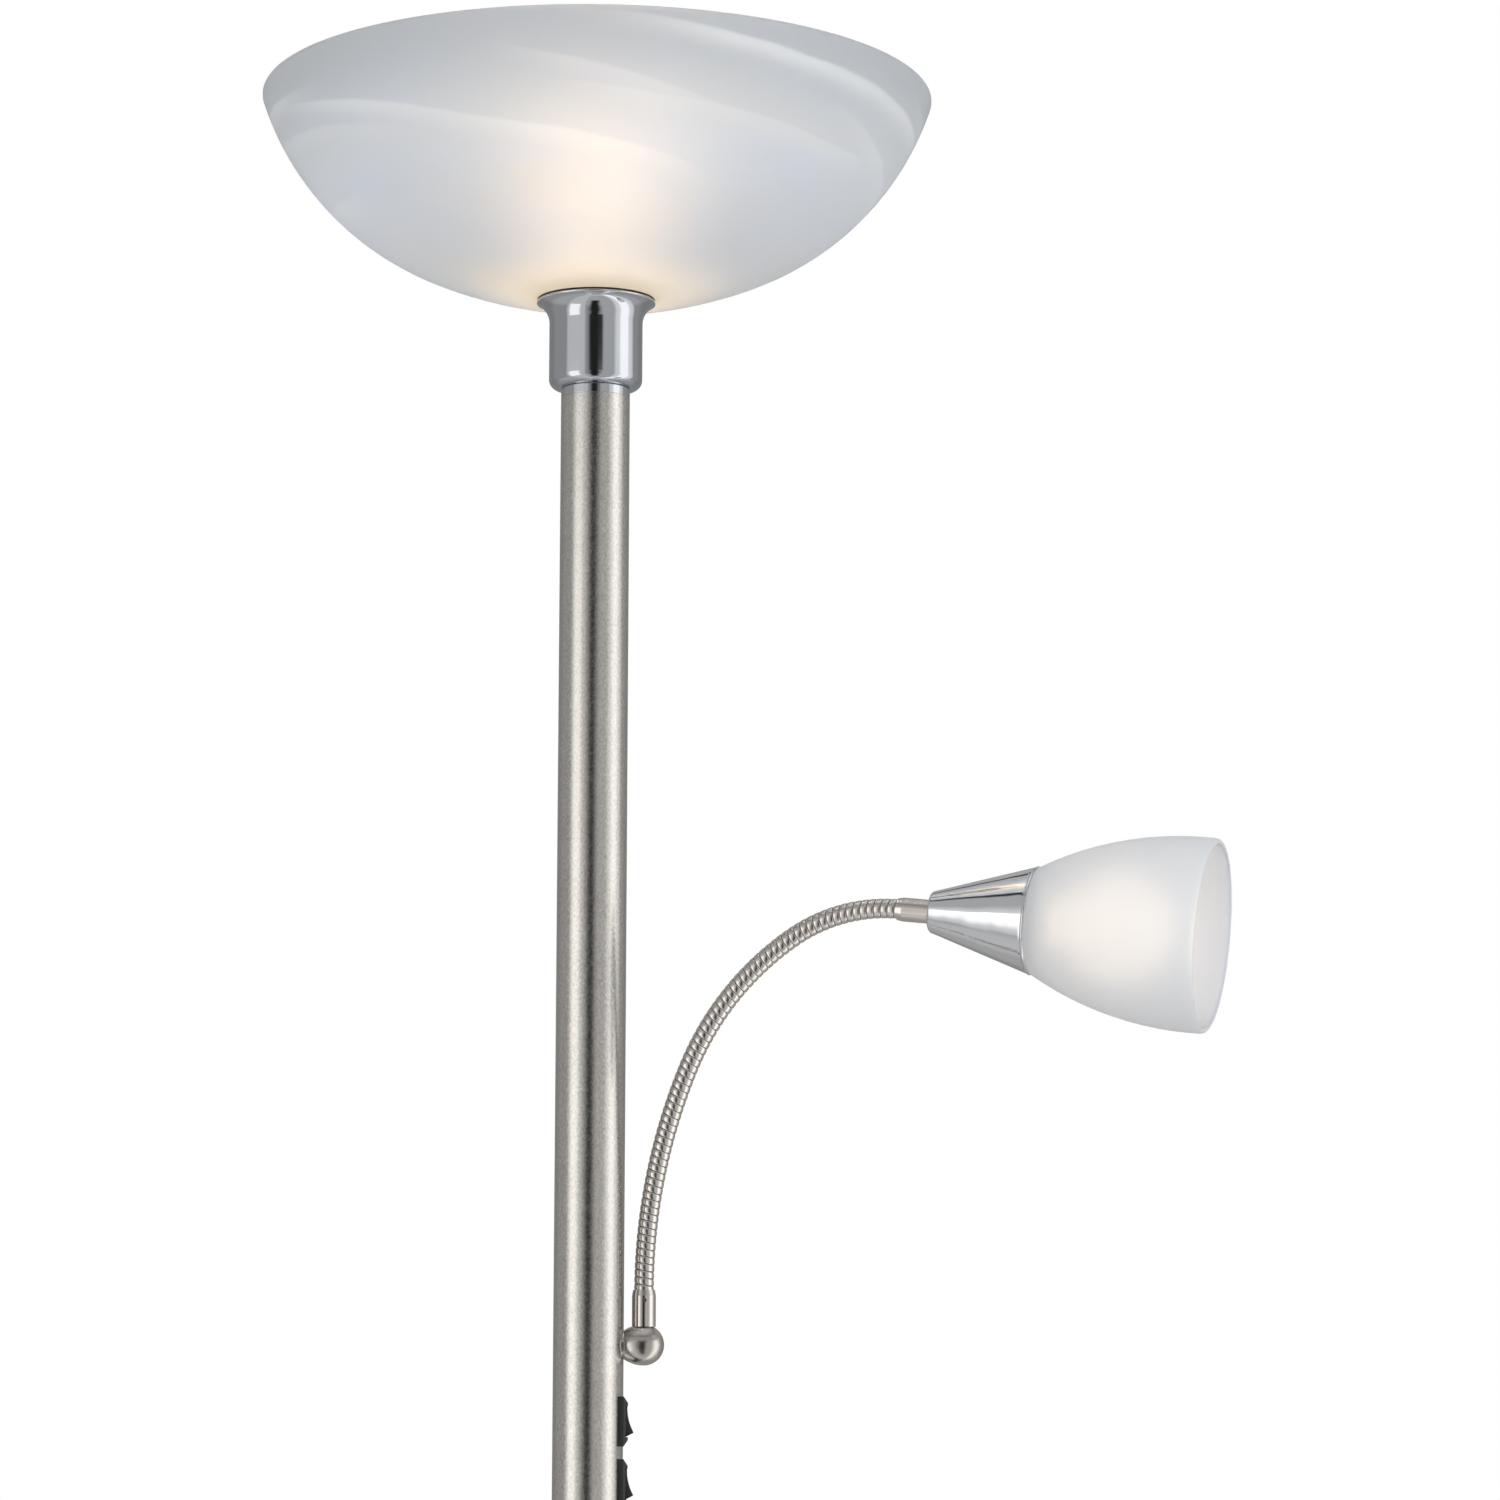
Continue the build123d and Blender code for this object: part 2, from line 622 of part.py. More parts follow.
link_turns = [turn / count for count, turn in gooseneck_arcs for _ in range(count)]
arm_point, arm_heading = (ball_x, arm_start_height), 90.0
joint_points = []
for number, turn in enumerate(link_turns, start=1):
    first, last = number == 1, number == len(link_turns)
    start_trim = 0 if first else link_gap / 2
    end_trim = 0 if last else link_gap / 2
    share = turn / link_length
    start, start_heading = along(arm_point, arm_heading, start_trim, share * start_trim)
    end, end_heading = along(arm_point, arm_heading, link_length - end_trim,
                             share * (link_length - end_trim))
    next_point, next_heading = along(arm_point, arm_heading, link_length, turn)
    with BuildPart() as link:
        with BuildLine(Plane.XZ) as link_line:
            TangentArc(start, end, tangent=(cos(radians(start_heading)), sin(radians(start_heading))))
        with BuildSketch(cross_plane(start, start_heading)):
            Circle(gooseneck_radius)
            Circle(link_bore_radius, mode=Mode.SUBTRACT)
        sweep(path=link_line.wire())
        if first:
            with BuildSketch(Plane.XY.offset(arm_start_height)):
                with Locations((ball_x, 0)):
                    Circle(gooseneck_radius)
                    Circle(link_bore_radius, mode=Mode.SUBTRACT)
            extrude(amount=-5)
        if last:
            with BuildSketch(cross_plane(end, end_heading)):
                Circle(gooseneck_radius)
                Circle(link_bore_radius, mode=Mode.SUBTRACT)
            extrude(amount=5)
        else:
            seat = cross_plane(end, end_heading)
            with BuildSketch(seat):
                Circle(link_bore_radius + 0.4)
            extrude(amount=-2.2)
            with Locations(cross_plane(next_point, next_heading)):
                Sphere(knuckle_radius)
            with BuildSketch(cross_plane(next_point, next_heading).offset(2.2)):
                Circle(knuckle_radius)
            extrude(amount=2, mode=Mode.SUBTRACT)
            with BuildSketch(cross_plane(next_point, next_heading).offset(-6)):
                Circle(1.95)
            extrude(amount=12, mode=Mode.SUBTRACT)
    piece = link.part.rotate(arm_upright, -arm_turn)
    piece.label = f"gooseneck_link_{number}"
    export_step(piece, f"parts/gooseneck_link_{number}.step")
    arm_point, arm_heading = next_point, next_heading
    joint_points.append((next_point, next_heading))

# ---- reading head: measured along its own axis from the end of the flexible arm ----

head_plane = Plane(origin=(arm_point[0], 0, arm_point[1]), z_dir=(0, -1, 0),
                   x_dir=(cos(radians(arm_heading)), 0, sin(radians(arm_heading))))
head_axis = Axis(head_plane.origin, head_plane.x_dir)

ferrule_length = 13.7
cone_start = ferrule_length
cone_small_radius = 8.6
cone_large_radius = 21.5
cone_end = 57.3
cone_lip_radius = 21.9
shade_start = cone_end
shade_wall = 2.8
shade_neck_radius = 21.6
shade_mouth = 129.2
shade_mouth_radius = 38.9
small_holder_radius = 11.2
small_holder_start, small_holder_end = 28.0, 62.5

with BuildPart() as upper_ferrule:
    with BuildSketch(head_plane):
        with BuildLine():
            Polyline((0, 4.05), (0, 4.45), (2.4, ferrule_radius), (ferrule_length, ferrule_radius),
                     (ferrule_length, m8_radius + thread_fit), (8.5, m8_radius + thread_fit),
                     (8.5, m8_bore_radius), (5.2, m8_bore_radius), (5.2, 4.05), (0, 4.05))
        make_face()
    revolve(axis=head_axis)

with BuildPart() as reading_stud:
    with BuildSketch(head_plane):
        with BuildLine():
            Polyline((8.7, m8_bore_radius), (8.7, m8_radius), (31, m8_radius), (31, m8_bore_radius),
                     (8.7, m8_bore_radius))
        make_face()
    revolve(axis=head_axis)

with BuildPart() as reading_cone:
    with BuildSketch(head_plane):
        with BuildLine():
            back = Line((cone_start, m8_radius + 0.06), (cone_start, cone_small_radius - 1.6))
            round_edge = TangentArc(back @ 1, (cone_start + 1.6, cone_small_radius), tangent=(0, 1))
            slope = Line(round_edge @ 1, (cone_end - 1.5, cone_large_radius))
            step = Line(slope @ 1, (cone_end - 1.5, cone_lip_radius))
            rim = Line(step @ 1, (cone_end, cone_lip_radius))
            front = Line(rim @ 1, (cone_end, small_holder_radius + 0.3))
            inner = Line(front @ 1, (cone_end - sheet, small_holder_radius + 0.3))
            inside = Line(inner @ 1, (cone_end - sheet, cone_large_radius - 1.7))
            hollow = Line(inside @ 1, (cone_start + 2.4, cone_small_radius - 1.0))
            step_in = Line(hollow @ 1, (cone_start + sheet, cone_small_radius - 2.2))
            bottom = Line(step_in @ 1, (cone_start + sheet, m8_radius + 0.06))
            Line(bottom @ 1, back @ 0)
        make_face()
    revolve(axis=head_axis)

with BuildPart() as reading_holder:
    with BuildSketch(head_plane):
        with BuildLine():
            Polyline((small_holder_start, m8_radius + thread_fit), (small_holder_start, 10.2),
                     (small_holder_start + 1, small_holder_radius), (small_holder_end, small_holder_radius),
                     (small_holder_end, 8.2), (small_holder_start + 3.4, 8.2),
                     (small_holder_start + 3.4, m8_radius + thread_fit),
                     (small_holder_start, m8_radius + thread_fit))
        make_face()
    revolve(axis=head_axis)

with BuildPart() as reading_contact_disc:
    with BuildSketch(Plane(head_plane.origin, x_dir=(0, 1, 0), z_dir=head_plane.x_dir).offset(33)):
        Circle(8.15)
        with PolarLocations(5.5, 2):
            Circle(1.2, mode=Mode.SUBTRACT)
    extrude(amount=3.5)

with BuildPart() as reading_screw_shell:
    with BuildSketch(Plane(head_plane.origin, x_dir=(0, 1, 0), z_dir=head_plane.x_dir).offset(36.5)):
        Circle(7.75)
        Circle(7.35, mode=Mode.SUBTRACT)
    extrude(amount=18)

small_bulb_seat = 36.5
small_bulb_cap_end = small_bulb_seat + 18.5
with BuildPart() as reading_bulb_cap:
    with BuildSketch(head_plane):
        with BuildLine():
            Polyline((small_bulb_seat, 0), (small_bulb_seat, 2.4), (small_bulb_seat + 2, 5.2),
                     (small_bulb_seat + 2.8, 6.95), (small_bulb_cap_end, 6.95), (small_bulb_cap_end, 0),
                     (small_bulb_seat, 0))
        make_face()
    revolve(axis=head_axis)

small_bulb_radius = 22.5
small_bulb_end = small_bulb_seat + 78
small_bulb_centre = small_bulb_end - small_bulb_radius
with BuildPart() as reading_bulb_glass:
    with BuildSketch(head_plane):
        with BuildLine():
            neck = Line((small_bulb_cap_end, 6.7), (small_bulb_cap_end + 2, 6.7))
            side = TangentArc(neck @ 1, (small_bulb_centre - small_bulb_radius * sin(radians(40)),
                                         small_bulb_radius * cos(radians(40))), tangent=(1, 0))
            CenterArc((small_bulb_centre, 0), small_bulb_radius, 0, 130)
            Line((small_bulb_end, 0), (small_bulb_cap_end, 0))
            Line((small_bulb_cap_end, 0), neck @ 0)
        make_face()
    revolve(axis=head_axis)
    back_face = reading_bulb_glass.faces().filter_by(GeomType.PLANE)
    offset(amount=-0.8, openings=back_face)

with BuildPart() as reading_shade_ring:
    with BuildSketch(head_plane):
        with BuildLine():
            ring_start = shade_start + shade_wall
            Polyline((ring_start, small_holder_radius + 0.04), (ring_start, 17.0), (ring_start + 2, 17.0),
                     (ring_start + 2, 13.2), (ring_start + 5, 13.2),
                     (ring_start + 5, small_holder_radius + 0.04),
                     (ring_start, small_holder_radius + 0.04))
        make_face()
    revolve(axis=head_axis)

with BuildPart() as reading_shade:
    with BuildSketch(head_plane):
        with BuildLine():
            back = Line((shade_start, small_holder_radius + 0.9), (shade_start, shade_neck_radius))
            bell_middle = (shade_start + 33, 34.9)
            bell = ThreePointArc(back @ 1, bell_middle, (shade_mouth, shade_mouth_radius))
            offset(amount=shade_wall, side=Side.RIGHT)
        make_face()
    revolve(axis=head_axis)
    mouth_edges = reading_shade.edges().filter_by(GeomType.CIRCLE).sort_by(Axis.X)[-2:]
    fillet(mouth_edges, 1.2)

head_pieces = {
    "upper_ferrule": upper_ferrule,
    "reading_stud": reading_stud,
    "reading_cone": reading_cone,
    "reading_holder": reading_holder,
    "reading_contact_disc": reading_contact_disc,
    "reading_screw_shell": reading_screw_shell,
    "reading_bulb_cap": reading_bulb_cap,
    "reading_bulb_glass": reading_bulb_glass,
    "reading_shade_ring": reading_shade_ring,
    "reading_shade": reading_shade,
}
for name, builder in head_pieces.items():
    piece = builder.part.rotate(arm_upright, -arm_turn)
    piece.label = name
    export_step(piece, f"parts/{name}.step")

# ---- leads inside the base, the pole and the arm ----

blade_back = housing_back - 6.8
lead_column = blade_back - lead_radius

with BuildPart() as supply_lead:
    with BuildLine() as supply_line:
        run_height = weight_bottom + 0.2 + lead_radius
        FilletPolyline((0, block_near, run_height), (0, 0, run_height), (0, 0, 1160),
                       (lead_column, -2.6, 1195), (lead_column, -2.6, switch_heights[0] - blade_rise + 2),
                       radius=[4.9, 40, 40])
    with BuildSketch(Plane(origin=(0, block_near, run_height), z_dir=(0, -1, 0))):
        Circle(lead_radius)
    sweep(path=supply_line.wire())
supply_lead.part.label = "supply_lead"
export_step(supply_lead.part, "parts/supply_lead.step")

with BuildPart() as bowl_lead:
    with BuildLine() as bowl_line:
        lead_start = switch_heights[0] + blade_rise - 2
        FilletPolyline((lead_column, 2.6, lead_start), (lead_column, 2.6, 1600), (0, 0, 1640),
                       (0, 0, holder_split - 1.5), radius=[40, 25])
    with BuildSketch(Plane(origin=(lead_column, 2.6, lead_start), z_dir=(0, 0, 1))):
        Circle(lead_radius)
    sweep(path=bowl_line.wire())
bowl_lead.part.label = "bowl_lead"
export_step(bowl_lead.part, "parts/bowl_lead.step")

arm_lead_column = blade_back - arm_lead_radius
with BuildPart() as reading_lead:
    with BuildLine() as pole_line:
        lead_start = switch_heights[1] + blade_rise - 2
        FilletPolyline((arm_lead_column, 2.6, lead_start), (arm_lead_column, 2.6, lead_start + 7),
                       (-6.5, 7.6, 1248), (-6.5, 7.6, 1262), (-3, 0, ball_height),
                       (ball_x, 0, ball_height), (ball_x, 0, arm_start_height), radius=[8, 10, 10, 8, 4.4])
    with BuildLine(Plane.XZ) as arm_line:
        arm_point, arm_heading = (ball_x, arm_start_height), 90.0
        for count, turn in gooseneck_arcs:
            end, end_heading = along(arm_point, arm_heading, count * link_length, turn)
            TangentArc(arm_point, end, tangent=(cos(radians(arm_heading)), sin(radians(arm_heading))))
            arm_point, arm_heading = end, end_heading
        Line(arm_point, along(arm_point, arm_heading, 33.0, 0)[0])
    lead_path = Wire(pole_line.edges() + arm_line.wire().rotate(arm_upright, -arm_turn).edges())
    with BuildSketch(Plane(origin=(arm_lead_column, 2.6, lead_start), z_dir=(0, 0, 1))):
        Circle(arm_lead_radius)
    sweep(path=lead_path)
reading_lead.part.label = "reading_lead"
export_step(reading_lead.part, "parts/reading_lead.step")

# The joint points, for whoever sets the hinges of the flexible arm
for number, (point, heading) in enumerate(joint_points[:-1], start=1):
    swung = Vector(point[0] - ball_x, 0, point[1]).rotate(Axis.Z, -arm_turn) + Vector(ball_x, 0, 0)
    print(f"bend {number}: {swung.X:.3f} {swung.Y:.3f} {swung.Z:.3f}, heading {heading:.2f}")
print(f"head axis starts at {head_plane.origin}, heading {arm_heading:.2f}")
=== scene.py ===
# Torchiere floor lamp with a reading light: the finishes, the glass, the flexible hose and the studio
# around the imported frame. Metres in Blender, the frame's millimetres in the dictionaries.

from math import asin, atan2, cos, degrees, hypot, pi, radians, sin, sqrt, tau

import bmesh
import bpy
from mathutils import Matrix, Vector


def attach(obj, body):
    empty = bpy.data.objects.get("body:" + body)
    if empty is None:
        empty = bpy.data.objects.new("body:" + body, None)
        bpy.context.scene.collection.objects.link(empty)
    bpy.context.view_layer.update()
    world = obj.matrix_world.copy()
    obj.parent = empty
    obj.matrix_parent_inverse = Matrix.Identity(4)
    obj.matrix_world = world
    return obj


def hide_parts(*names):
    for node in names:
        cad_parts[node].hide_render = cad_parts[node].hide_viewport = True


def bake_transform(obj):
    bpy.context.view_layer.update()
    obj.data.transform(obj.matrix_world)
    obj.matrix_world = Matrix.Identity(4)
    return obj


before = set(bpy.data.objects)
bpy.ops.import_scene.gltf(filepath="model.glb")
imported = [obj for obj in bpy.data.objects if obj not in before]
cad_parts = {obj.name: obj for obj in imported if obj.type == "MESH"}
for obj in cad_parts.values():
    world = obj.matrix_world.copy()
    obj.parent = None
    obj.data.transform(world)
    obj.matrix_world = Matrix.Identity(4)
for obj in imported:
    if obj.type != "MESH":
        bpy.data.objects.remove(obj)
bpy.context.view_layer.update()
mm = 0.001
scene = bpy.context.scene
print("frame loaded:", len(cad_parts), "nodes")


class Num:  # a number inside a material, with Python's own operators
    def __init__(self, finish, socket):
        self.finish, self.socket = finish, socket

    def maths(self, operation, first, second=0.0):
        made = self.finish.node("Math", {"operation": operation}, {0: first, 1: second})
        return Num(self.finish, made.outputs[0])

    def __add__(self, other):
        return self.maths("ADD", self, other)

    def __radd__(self, other):
        return self.maths("ADD", other, self)

    def __sub__(self, other):
        return self.maths("SUBTRACT", self, other)

    def __rsub__(self, other):
        return self.maths("SUBTRACT", other, self)

    def __mul__(self, other):
        return self.maths("MULTIPLY", self, other)

    def __rmul__(self, other):
        return self.maths("MULTIPLY", other, self)

    def __truediv__(self, other):
        return self.maths("DIVIDE", self, other)

    def __pow__(self, other):
        return self.maths("POWER", self, other)

    def size(self):
        return self.maths("ABSOLUTE", self)

    def clamped(self):
        made = self.finish.node("Clamp", {}, {0: self})
        return Num(self.finish, made.outputs[0])

    def fade(self, low, high, first=0.0, last=1.0):  # smooth step from first at low to last at high
        made = self.finish.node("MapRange", {"interpolation_type": "SMOOTHSTEP"},
                                {0: self, 1: low, 2: high, 3: first, 4: last})
        return Num(self.finish, made.outputs[0])


class Finish:  # one node tree, of a material or of the world
    def __init__(self, owner):
        self.owner = owner
        owner.use_nodes = True
        self.tree = owner.node_tree

    def feed(self, socket, value):
        if isinstance(value, Num):
            value = value.socket
        if isinstance(value, bpy.types.NodeSocket):
            self.tree.links.new(value, socket)
        elif hasattr(value, "__len__") and len(value) == 3 and socket.type == "RGBA":
            socket.default_value = (*value, 1.0)
        else:
            socket.default_value = value

    def node(self, kind, settings, sockets):
        made = self.tree.nodes.new("ShaderNode" + kind)
        for key, value in settings.items():
            setattr(made, key, value)
        for key, value in sockets.items():
            self.feed(made.inputs[key], value)
        return made

    def place(self, scale=(1, 1, 1), turn=(0, 0, 0), shift=(0, 0, 0)):  # object coordinates, mapped
        source = self.node("TexCoord", {}, {}).outputs["Object"]
        turned = self.node("Mapping", {}, {"Vector": source, "Rotation": turn, "Location": shift,
                                           "Scale": scale})
        return turned.outputs[0]

    def axes(self, vector):
        made = self.node("SeparateXYZ", {}, {0: vector})
        return [Num(self, socket) for socket in made.outputs]

    def joined(self, x, y, z):
        return self.node("CombineXYZ", {}, {0: x, 1: y, 2: z}).outputs[0]

    def distance(self, where):  # from the origin
        made = self.node("VectorMath", {"operation": "LENGTH"}, {0: where})
        return Num(self, made.outputs["Value"])

    def noise(self, where, scale, detail=2.0, rough=0.5, twist=0.0):
        made = self.node("TexNoise", {}, {"Vector": where, "Scale": scale, "Detail": detail,
                                          "Roughness": rough, "Distortion": twist})
        return Num(self, made.outputs[0])

    def mix(self, factor, first, second):
        made = self.node("Mix", {"data_type": "RGBA"}, {0: factor, 6: first, 7: second})
        return made.outputs[2]

    def bump(self, height, depth, strength=1.0):
        made = self.node("Bump", {}, {"Height": height, "Distance": depth, "Strength": strength})
        return made.outputs[0]


def finish(name, **constants):  # a material, with what is the same all over set on the shader itself
    made = Finish(bpy.data.materials.new(name))
    made.shader = made.tree.nodes["Principled BSDF"]
    for key, value in constants.items():
        made.feed(made.shader.inputs[key.replace("_", " ")], value)
    return made


def paint(made, **sockets):  # what changes over the surface
    for key, value in sockets.items():
        made.feed(made.shader.inputs[key.replace("_", " ")], value)
    return made.owner


# metals
nickel = {"light": (0.74, 0.72, 0.69), "dark": (0.56, 0.54, 0.51), "roughness": 0.20, "vary": 0.16,
          "grain": 0.00003, "speckle": 1100, "contrast": 3.0, "spunRoughness": 0.26, "rings": 2600}


def brushedNickel():
    made = finish("brushedNickel", Metallic=1.0, Anisotropic=0.5)
    grain = nickel["speckle"]
    fine = made.noise(made.place((grain, grain, grain * 0.7)), 1.0, 3.0, 0.6)
    soft = made.noise(made.place((14, 14, 60)), 1.0, 2.0)
    speckle = ((fine - 0.5) * nickel["contrast"] + (soft - 0.5) * 0.5 + 0.5).clamped()
    return paint(made, Base_Color=made.mix(speckle, nickel["dark"], nickel["light"]),
                 Roughness=nickel["roughness"] + (fine - 0.5) * nickel["vary"],
                 Normal=made.bump(fine, nickel["grain"], 0.5))


def spunNickel():  # the base: rings round the axis
    made = finish("spunNickel", Metallic=1.0, Anisotropic=0.5)
    where = made.place()
    x, y, z = made.axes(where)
    ring = made.distance(made.joined(x, y, 0.0))
    fine = made.noise(made.joined(ring * nickel["rings"], z * 900, 0.0), 1.0, 3.0, 0.6)
    soft = made.noise(where, 9.0, 2.0)
    colour = made.mix(fine * 0.55 + soft * 0.35, nickel["dark"], nickel["light"])
    return paint(made, Base_Color=colour,
                 Roughness=nickel["spunRoughness"] + (fine - 0.5) * nickel["vary"],
                 Normal=made.bump(fine, nickel["grain"], 0.5))


# the light and the dark tone of each polished piece, and how close its slight waves lie
chromeLook = {"cup": ((0.62, 0.645, 0.685), (0.56, 0.585, 0.62), (60, 60, 6)),
              # the cone's tones are a brighter copy of the cup's chrome, a painted highlight
              "cone": ((0.88, 0.895, 0.92), (0.78, 0.80, 0.84), (70, 70, 95)),
              "roughness": 0.06, "vary": 0.06, "wave": 0.00045}


def polishedChrome(name, light, dark, waves):
    made = finish(name, Metallic=1.0)
    wave = made.noise(made.place(waves), 1.0, 1.0, 0.4)
    film = made.noise(made.place((45, 45, 45), shift=(0.3, 0.1, 0.7)), 1.0, 3.0, 0.6)
    return paint(made, Base_Color=made.mix(film, dark, light),
                 Roughness=chromeLook["roughness"] + (film - 0.5) * chromeLook["vary"],
                 Normal=made.bump(wave, chromeLook["wave"], 0.6))


def plainSteel(name, light, dark, roughness, grain=180):
    made = finish(name, Metallic=1.0)
    patch = made.noise(made.place((grain, grain, grain)), 1.0, 4.0, 0.6)
    fine = made.noise(made.place((1600, 1600, 1600)), 1.0, 2.0)
    return paint(made, Base_Color=made.mix(patch, dark, light), Roughness=roughness + (patch - 0.5) * 0.2,
                 Normal=made.bump(fine, 0.00002, 0.5))


# groove: a dark tone painted into the hollows between the wire's turns, painted shade
hoseSteel = {"crest": (0.86, 0.82, 0.785), "groove": (0.20, 0.18, 0.16), "roughness": 0.20}


def woundSteel():
    made = finish("woundSteel", Metallic=1.0)
    crest = Num(made, made.node("Attribute", {"attribute_name": "crest"}, {}).outputs["Fac"])
    fine = made.noise(made.place((900, 900, 900)), 1.0, 3.0, 0.6)
    # the hollows between the turns painted dark as painted shade, with random patches of the same dark
    # tone
    colour = made.mix(crest.fade(0.1, 0.6), hoseSteel["groove"], hoseSteel["crest"])
    return paint(made, Base_Color=made.mix(fine * 0.3, colour, hoseSteel["groove"]),
                 Roughness=hoseSteel["roughness"] + (1 - crest) * 0.2 + (fine - 0.5) * 0.1,
                 Normal=made.bump(fine, 0.00003, 0.4))


# glass, with heights and distances in metres
alabaster = {"body": (0.785, 0.80, 0.815), "cool": (0.775, 0.81, 0.86), "veil": (0.95, 0.96, 0.97),
             "roughness": 0.72, "clear": 0.42, "drift": 7.0, "soft": 11.0, "crisp": 1.6,
             # rim: the glass painted darker towards the rim, painted shade
             "rim": (0.60, 0.62, 0.645), "rimFade": (1.755, 1.799),
             # warm: a painted glow of the bulb's light in the glass near the cup
             "warm": (0.19, 0.125, 0.045), "warmFade": (0.022, 0.066)}

# the milky wisps in the bowl, each falling round it: its middle in degrees from the front, its height
# there in mm, half its reach in degrees, its fall in mm per degree, how far its ends bow up in mm,
# and its strength
wisps = (
    (-28, 1764, 62, 0.42, 2.0, 0.50), (2, 1775, 26, 0.55, 0.0, 0.28), (30, 1763.5, 46, 0.14, 4.0, 0.34),
    (48, 1786.5, 58, 0.17, 2.0, 0.70), (-70, 1770, 40, 0.30, 3.0, 0.25), (88, 1758, 50, 0.35, 3.0, 0.40),
    (120, 1778, 56, 0.28, -2.0, 0.55), (165, 1762, 60, 0.34, 3.0, 0.45), (190, 1786, 48, 0.20, 2.0, 0.50),
    (232, 1772, 52, 0.38, -2.0, 0.50), (262, 1789, 44, 0.12, 2.0, 0.45), (255, 1752, 46, 0.26, 4.0, 0.35))
wispTip = 0.35                                           # share of its reach where a wisp begins to fade


def alabasterGlass():
    made = finish("alabasterGlass", Roughness=alabaster["roughness"], IOR=1.45,
                  Transmission_Weight=alabaster["clear"], Specular_IOR_Level=0.4, Emission_Strength=1.0)
    where = made.place()
    x, y, z = made.axes(where)
    stray = (made.noise(made.place((11, 11, 30)), 1.0, 2.0) - 0.5) * alabaster["drift"]
    veil = None
    for middle, height, reach, fall, bow, strength in wisps:
        ahead = x * sin(radians(middle)) - y * cos(radians(middle))
        aside = x * cos(radians(middle)) + y * sin(radians(middle))
        away = aside.maths("ARCTAN2", aside, ahead) * degrees(1) / reach
        above = z * 1000 - height + away * (fall * reach) - away * away * bow + stray
        thread = above.fade(-alabaster["soft"], 0.0) ** 2 * above.fade(0.0, alabaster["crisp"], 1.0, 0.0)
        part = thread * away.size().fade(wispTip, 1.0, strength, 0.0)
        veil = veil.maths("MAXIMUM", veil, part) if veil else part
    cloud = made.noise(made.place((9, 9, 26), turn=(0.2, 0.1, 0.0)), 1.0, 3.0, 0.55, 0.6)
    base = made.mix(cloud.fade(0.35, 0.7), alabaster["body"], alabaster["cool"])
    # the bowl painted darker towards its rim: painted shade
    base = made.mix(z.fade(*alabaster["rimFade"]), base, alabaster["rim"])
    # painted glow: the bulb's light painted into the glass near the cup
    nearCup = made.distance(made.joined(x, y, 0.0)).fade(*alabaster["warmFade"], 1.0, 0.0)
    return paint(made, Base_Color=made.mix(veil, base, alabaster["veil"]),
                 Emission_Color=made.mix(nearCup, (0.0, 0.0, 0.0), alabaster["warm"]))


# inner: the inside of the shade painted darker and cooler, painted shade
frosted = {"body": (0.86, 0.87, 0.885), "cloud": (0.92, 0.92, 0.92), "inner": (0.655, 0.705, 0.775),
           "roughness": 0.5, "clear": 0.4}


def frostedGlass():
    made = finish("frostedGlass", Roughness=frosted["roughness"], IOR=1.45,
                  Transmission_Weight=frosted["clear"], Specular_IOR_Level=0.4)
    cloud = made.noise(made.place((18, 18, 30)), 1.0, 3.0, 0.5)
    inner = made.node("Attribute", {"attribute_name": "inner"}, {}).outputs["Fac"]
    outer = made.mix(cloud, frosted["body"], frosted["cloud"])
    # the inside of the shade painted darker and cooler: painted shade
    return paint(made, Base_Color=made.mix(inner, outer, frosted["inner"]))


# each bulb's strength and its two warm tones
glow = {"bowl": (11.0, (1.0, 0.70, 0.42), (1.0, 0.66, 0.38)),
        "reading": (2.4, (1.0, 0.76, 0.52), (1.0, 0.73, 0.48))}


def litBulb(name, strength, warm, warmer):
    made = finish(name, Base_Color=(0.75, 0.74, 0.72), Roughness=0.3, Emission_Strength=strength)
    grain = made.noise(made.place((120, 120, 120)), 1.0, 3.0)
    return paint(made, Emission_Color=made.mix(grain, warmer, warm))


# plastics, felt and iron
def moulded(name, light, dark, roughness, grain=1400, depth=0.00002):
    made = finish(name, IOR=1.46)
    fine = made.noise(made.place((grain, grain, grain)), 1.0, 3.0, 0.6)
    broad = made.noise(made.place((60, 60, 60)), 1.0, 2.0)
    return paint(made, Base_Color=made.mix(broad, dark, light),
                 Roughness=roughness + (broad - 0.5) * 0.12, Normal=made.bump(fine, depth, 0.5))


def feltPad():
    made = finish("feltPad", Roughness=0.95, Sheen_Weight=0.4)
    fibre = made.noise(made.place((900, 900, 900)), 1.0, 5.0, 0.7, 1.5)
    return paint(made, Base_Color=made.mix(fibre, (0.008, 0.008, 0.009), (0.06, 0.06, 0.065)),
                 Normal=made.bump(fibre, 0.0004))


def castIron():
    made = finish("castIron", Metallic=0.6)
    pits = made.noise(made.place((700, 700, 700)), 1.0, 4.0, 0.65)
    broad = made.noise(made.place((40, 40, 40)), 1.0, 3.0)
    return paint(made, Base_Color=made.mix(broad, (0.03, 0.029, 0.028), (0.085, 0.08, 0.075)),
                 Roughness=0.62 + (pits - 0.5) * 0.3, Normal=made.bump(pits, 0.0003))


# meshes, drawn in millimetres
def arcPoints(centre, radius, start, end, count):  # points of an arc in the plane of an outline
    x, z = centre
    turns = [radians(start + (end - start) * step / count) for step in range(count + 1)]
    return [(x + radius * cos(turn), z + radius * sin(turn)) for turn in turns]


def held(outline, margin=0.3, longest=3.0):  # points near the ends of a straight run keep it straight
    points = outline[:1]
    for (x, z), (nextX, nextZ) in zip(outline, outline[1:]):
        share = margin / max(hypot(nextX - x, nextZ - z), margin)
        if share < margin / longest:
            points += [(x + (nextX - x) * part, z + (nextZ - z) * part) for part in (share, 1 - share)]
        points.append((nextX, nextZ))
    return points


fineSteps = 192                                          # round the bowl and its cup


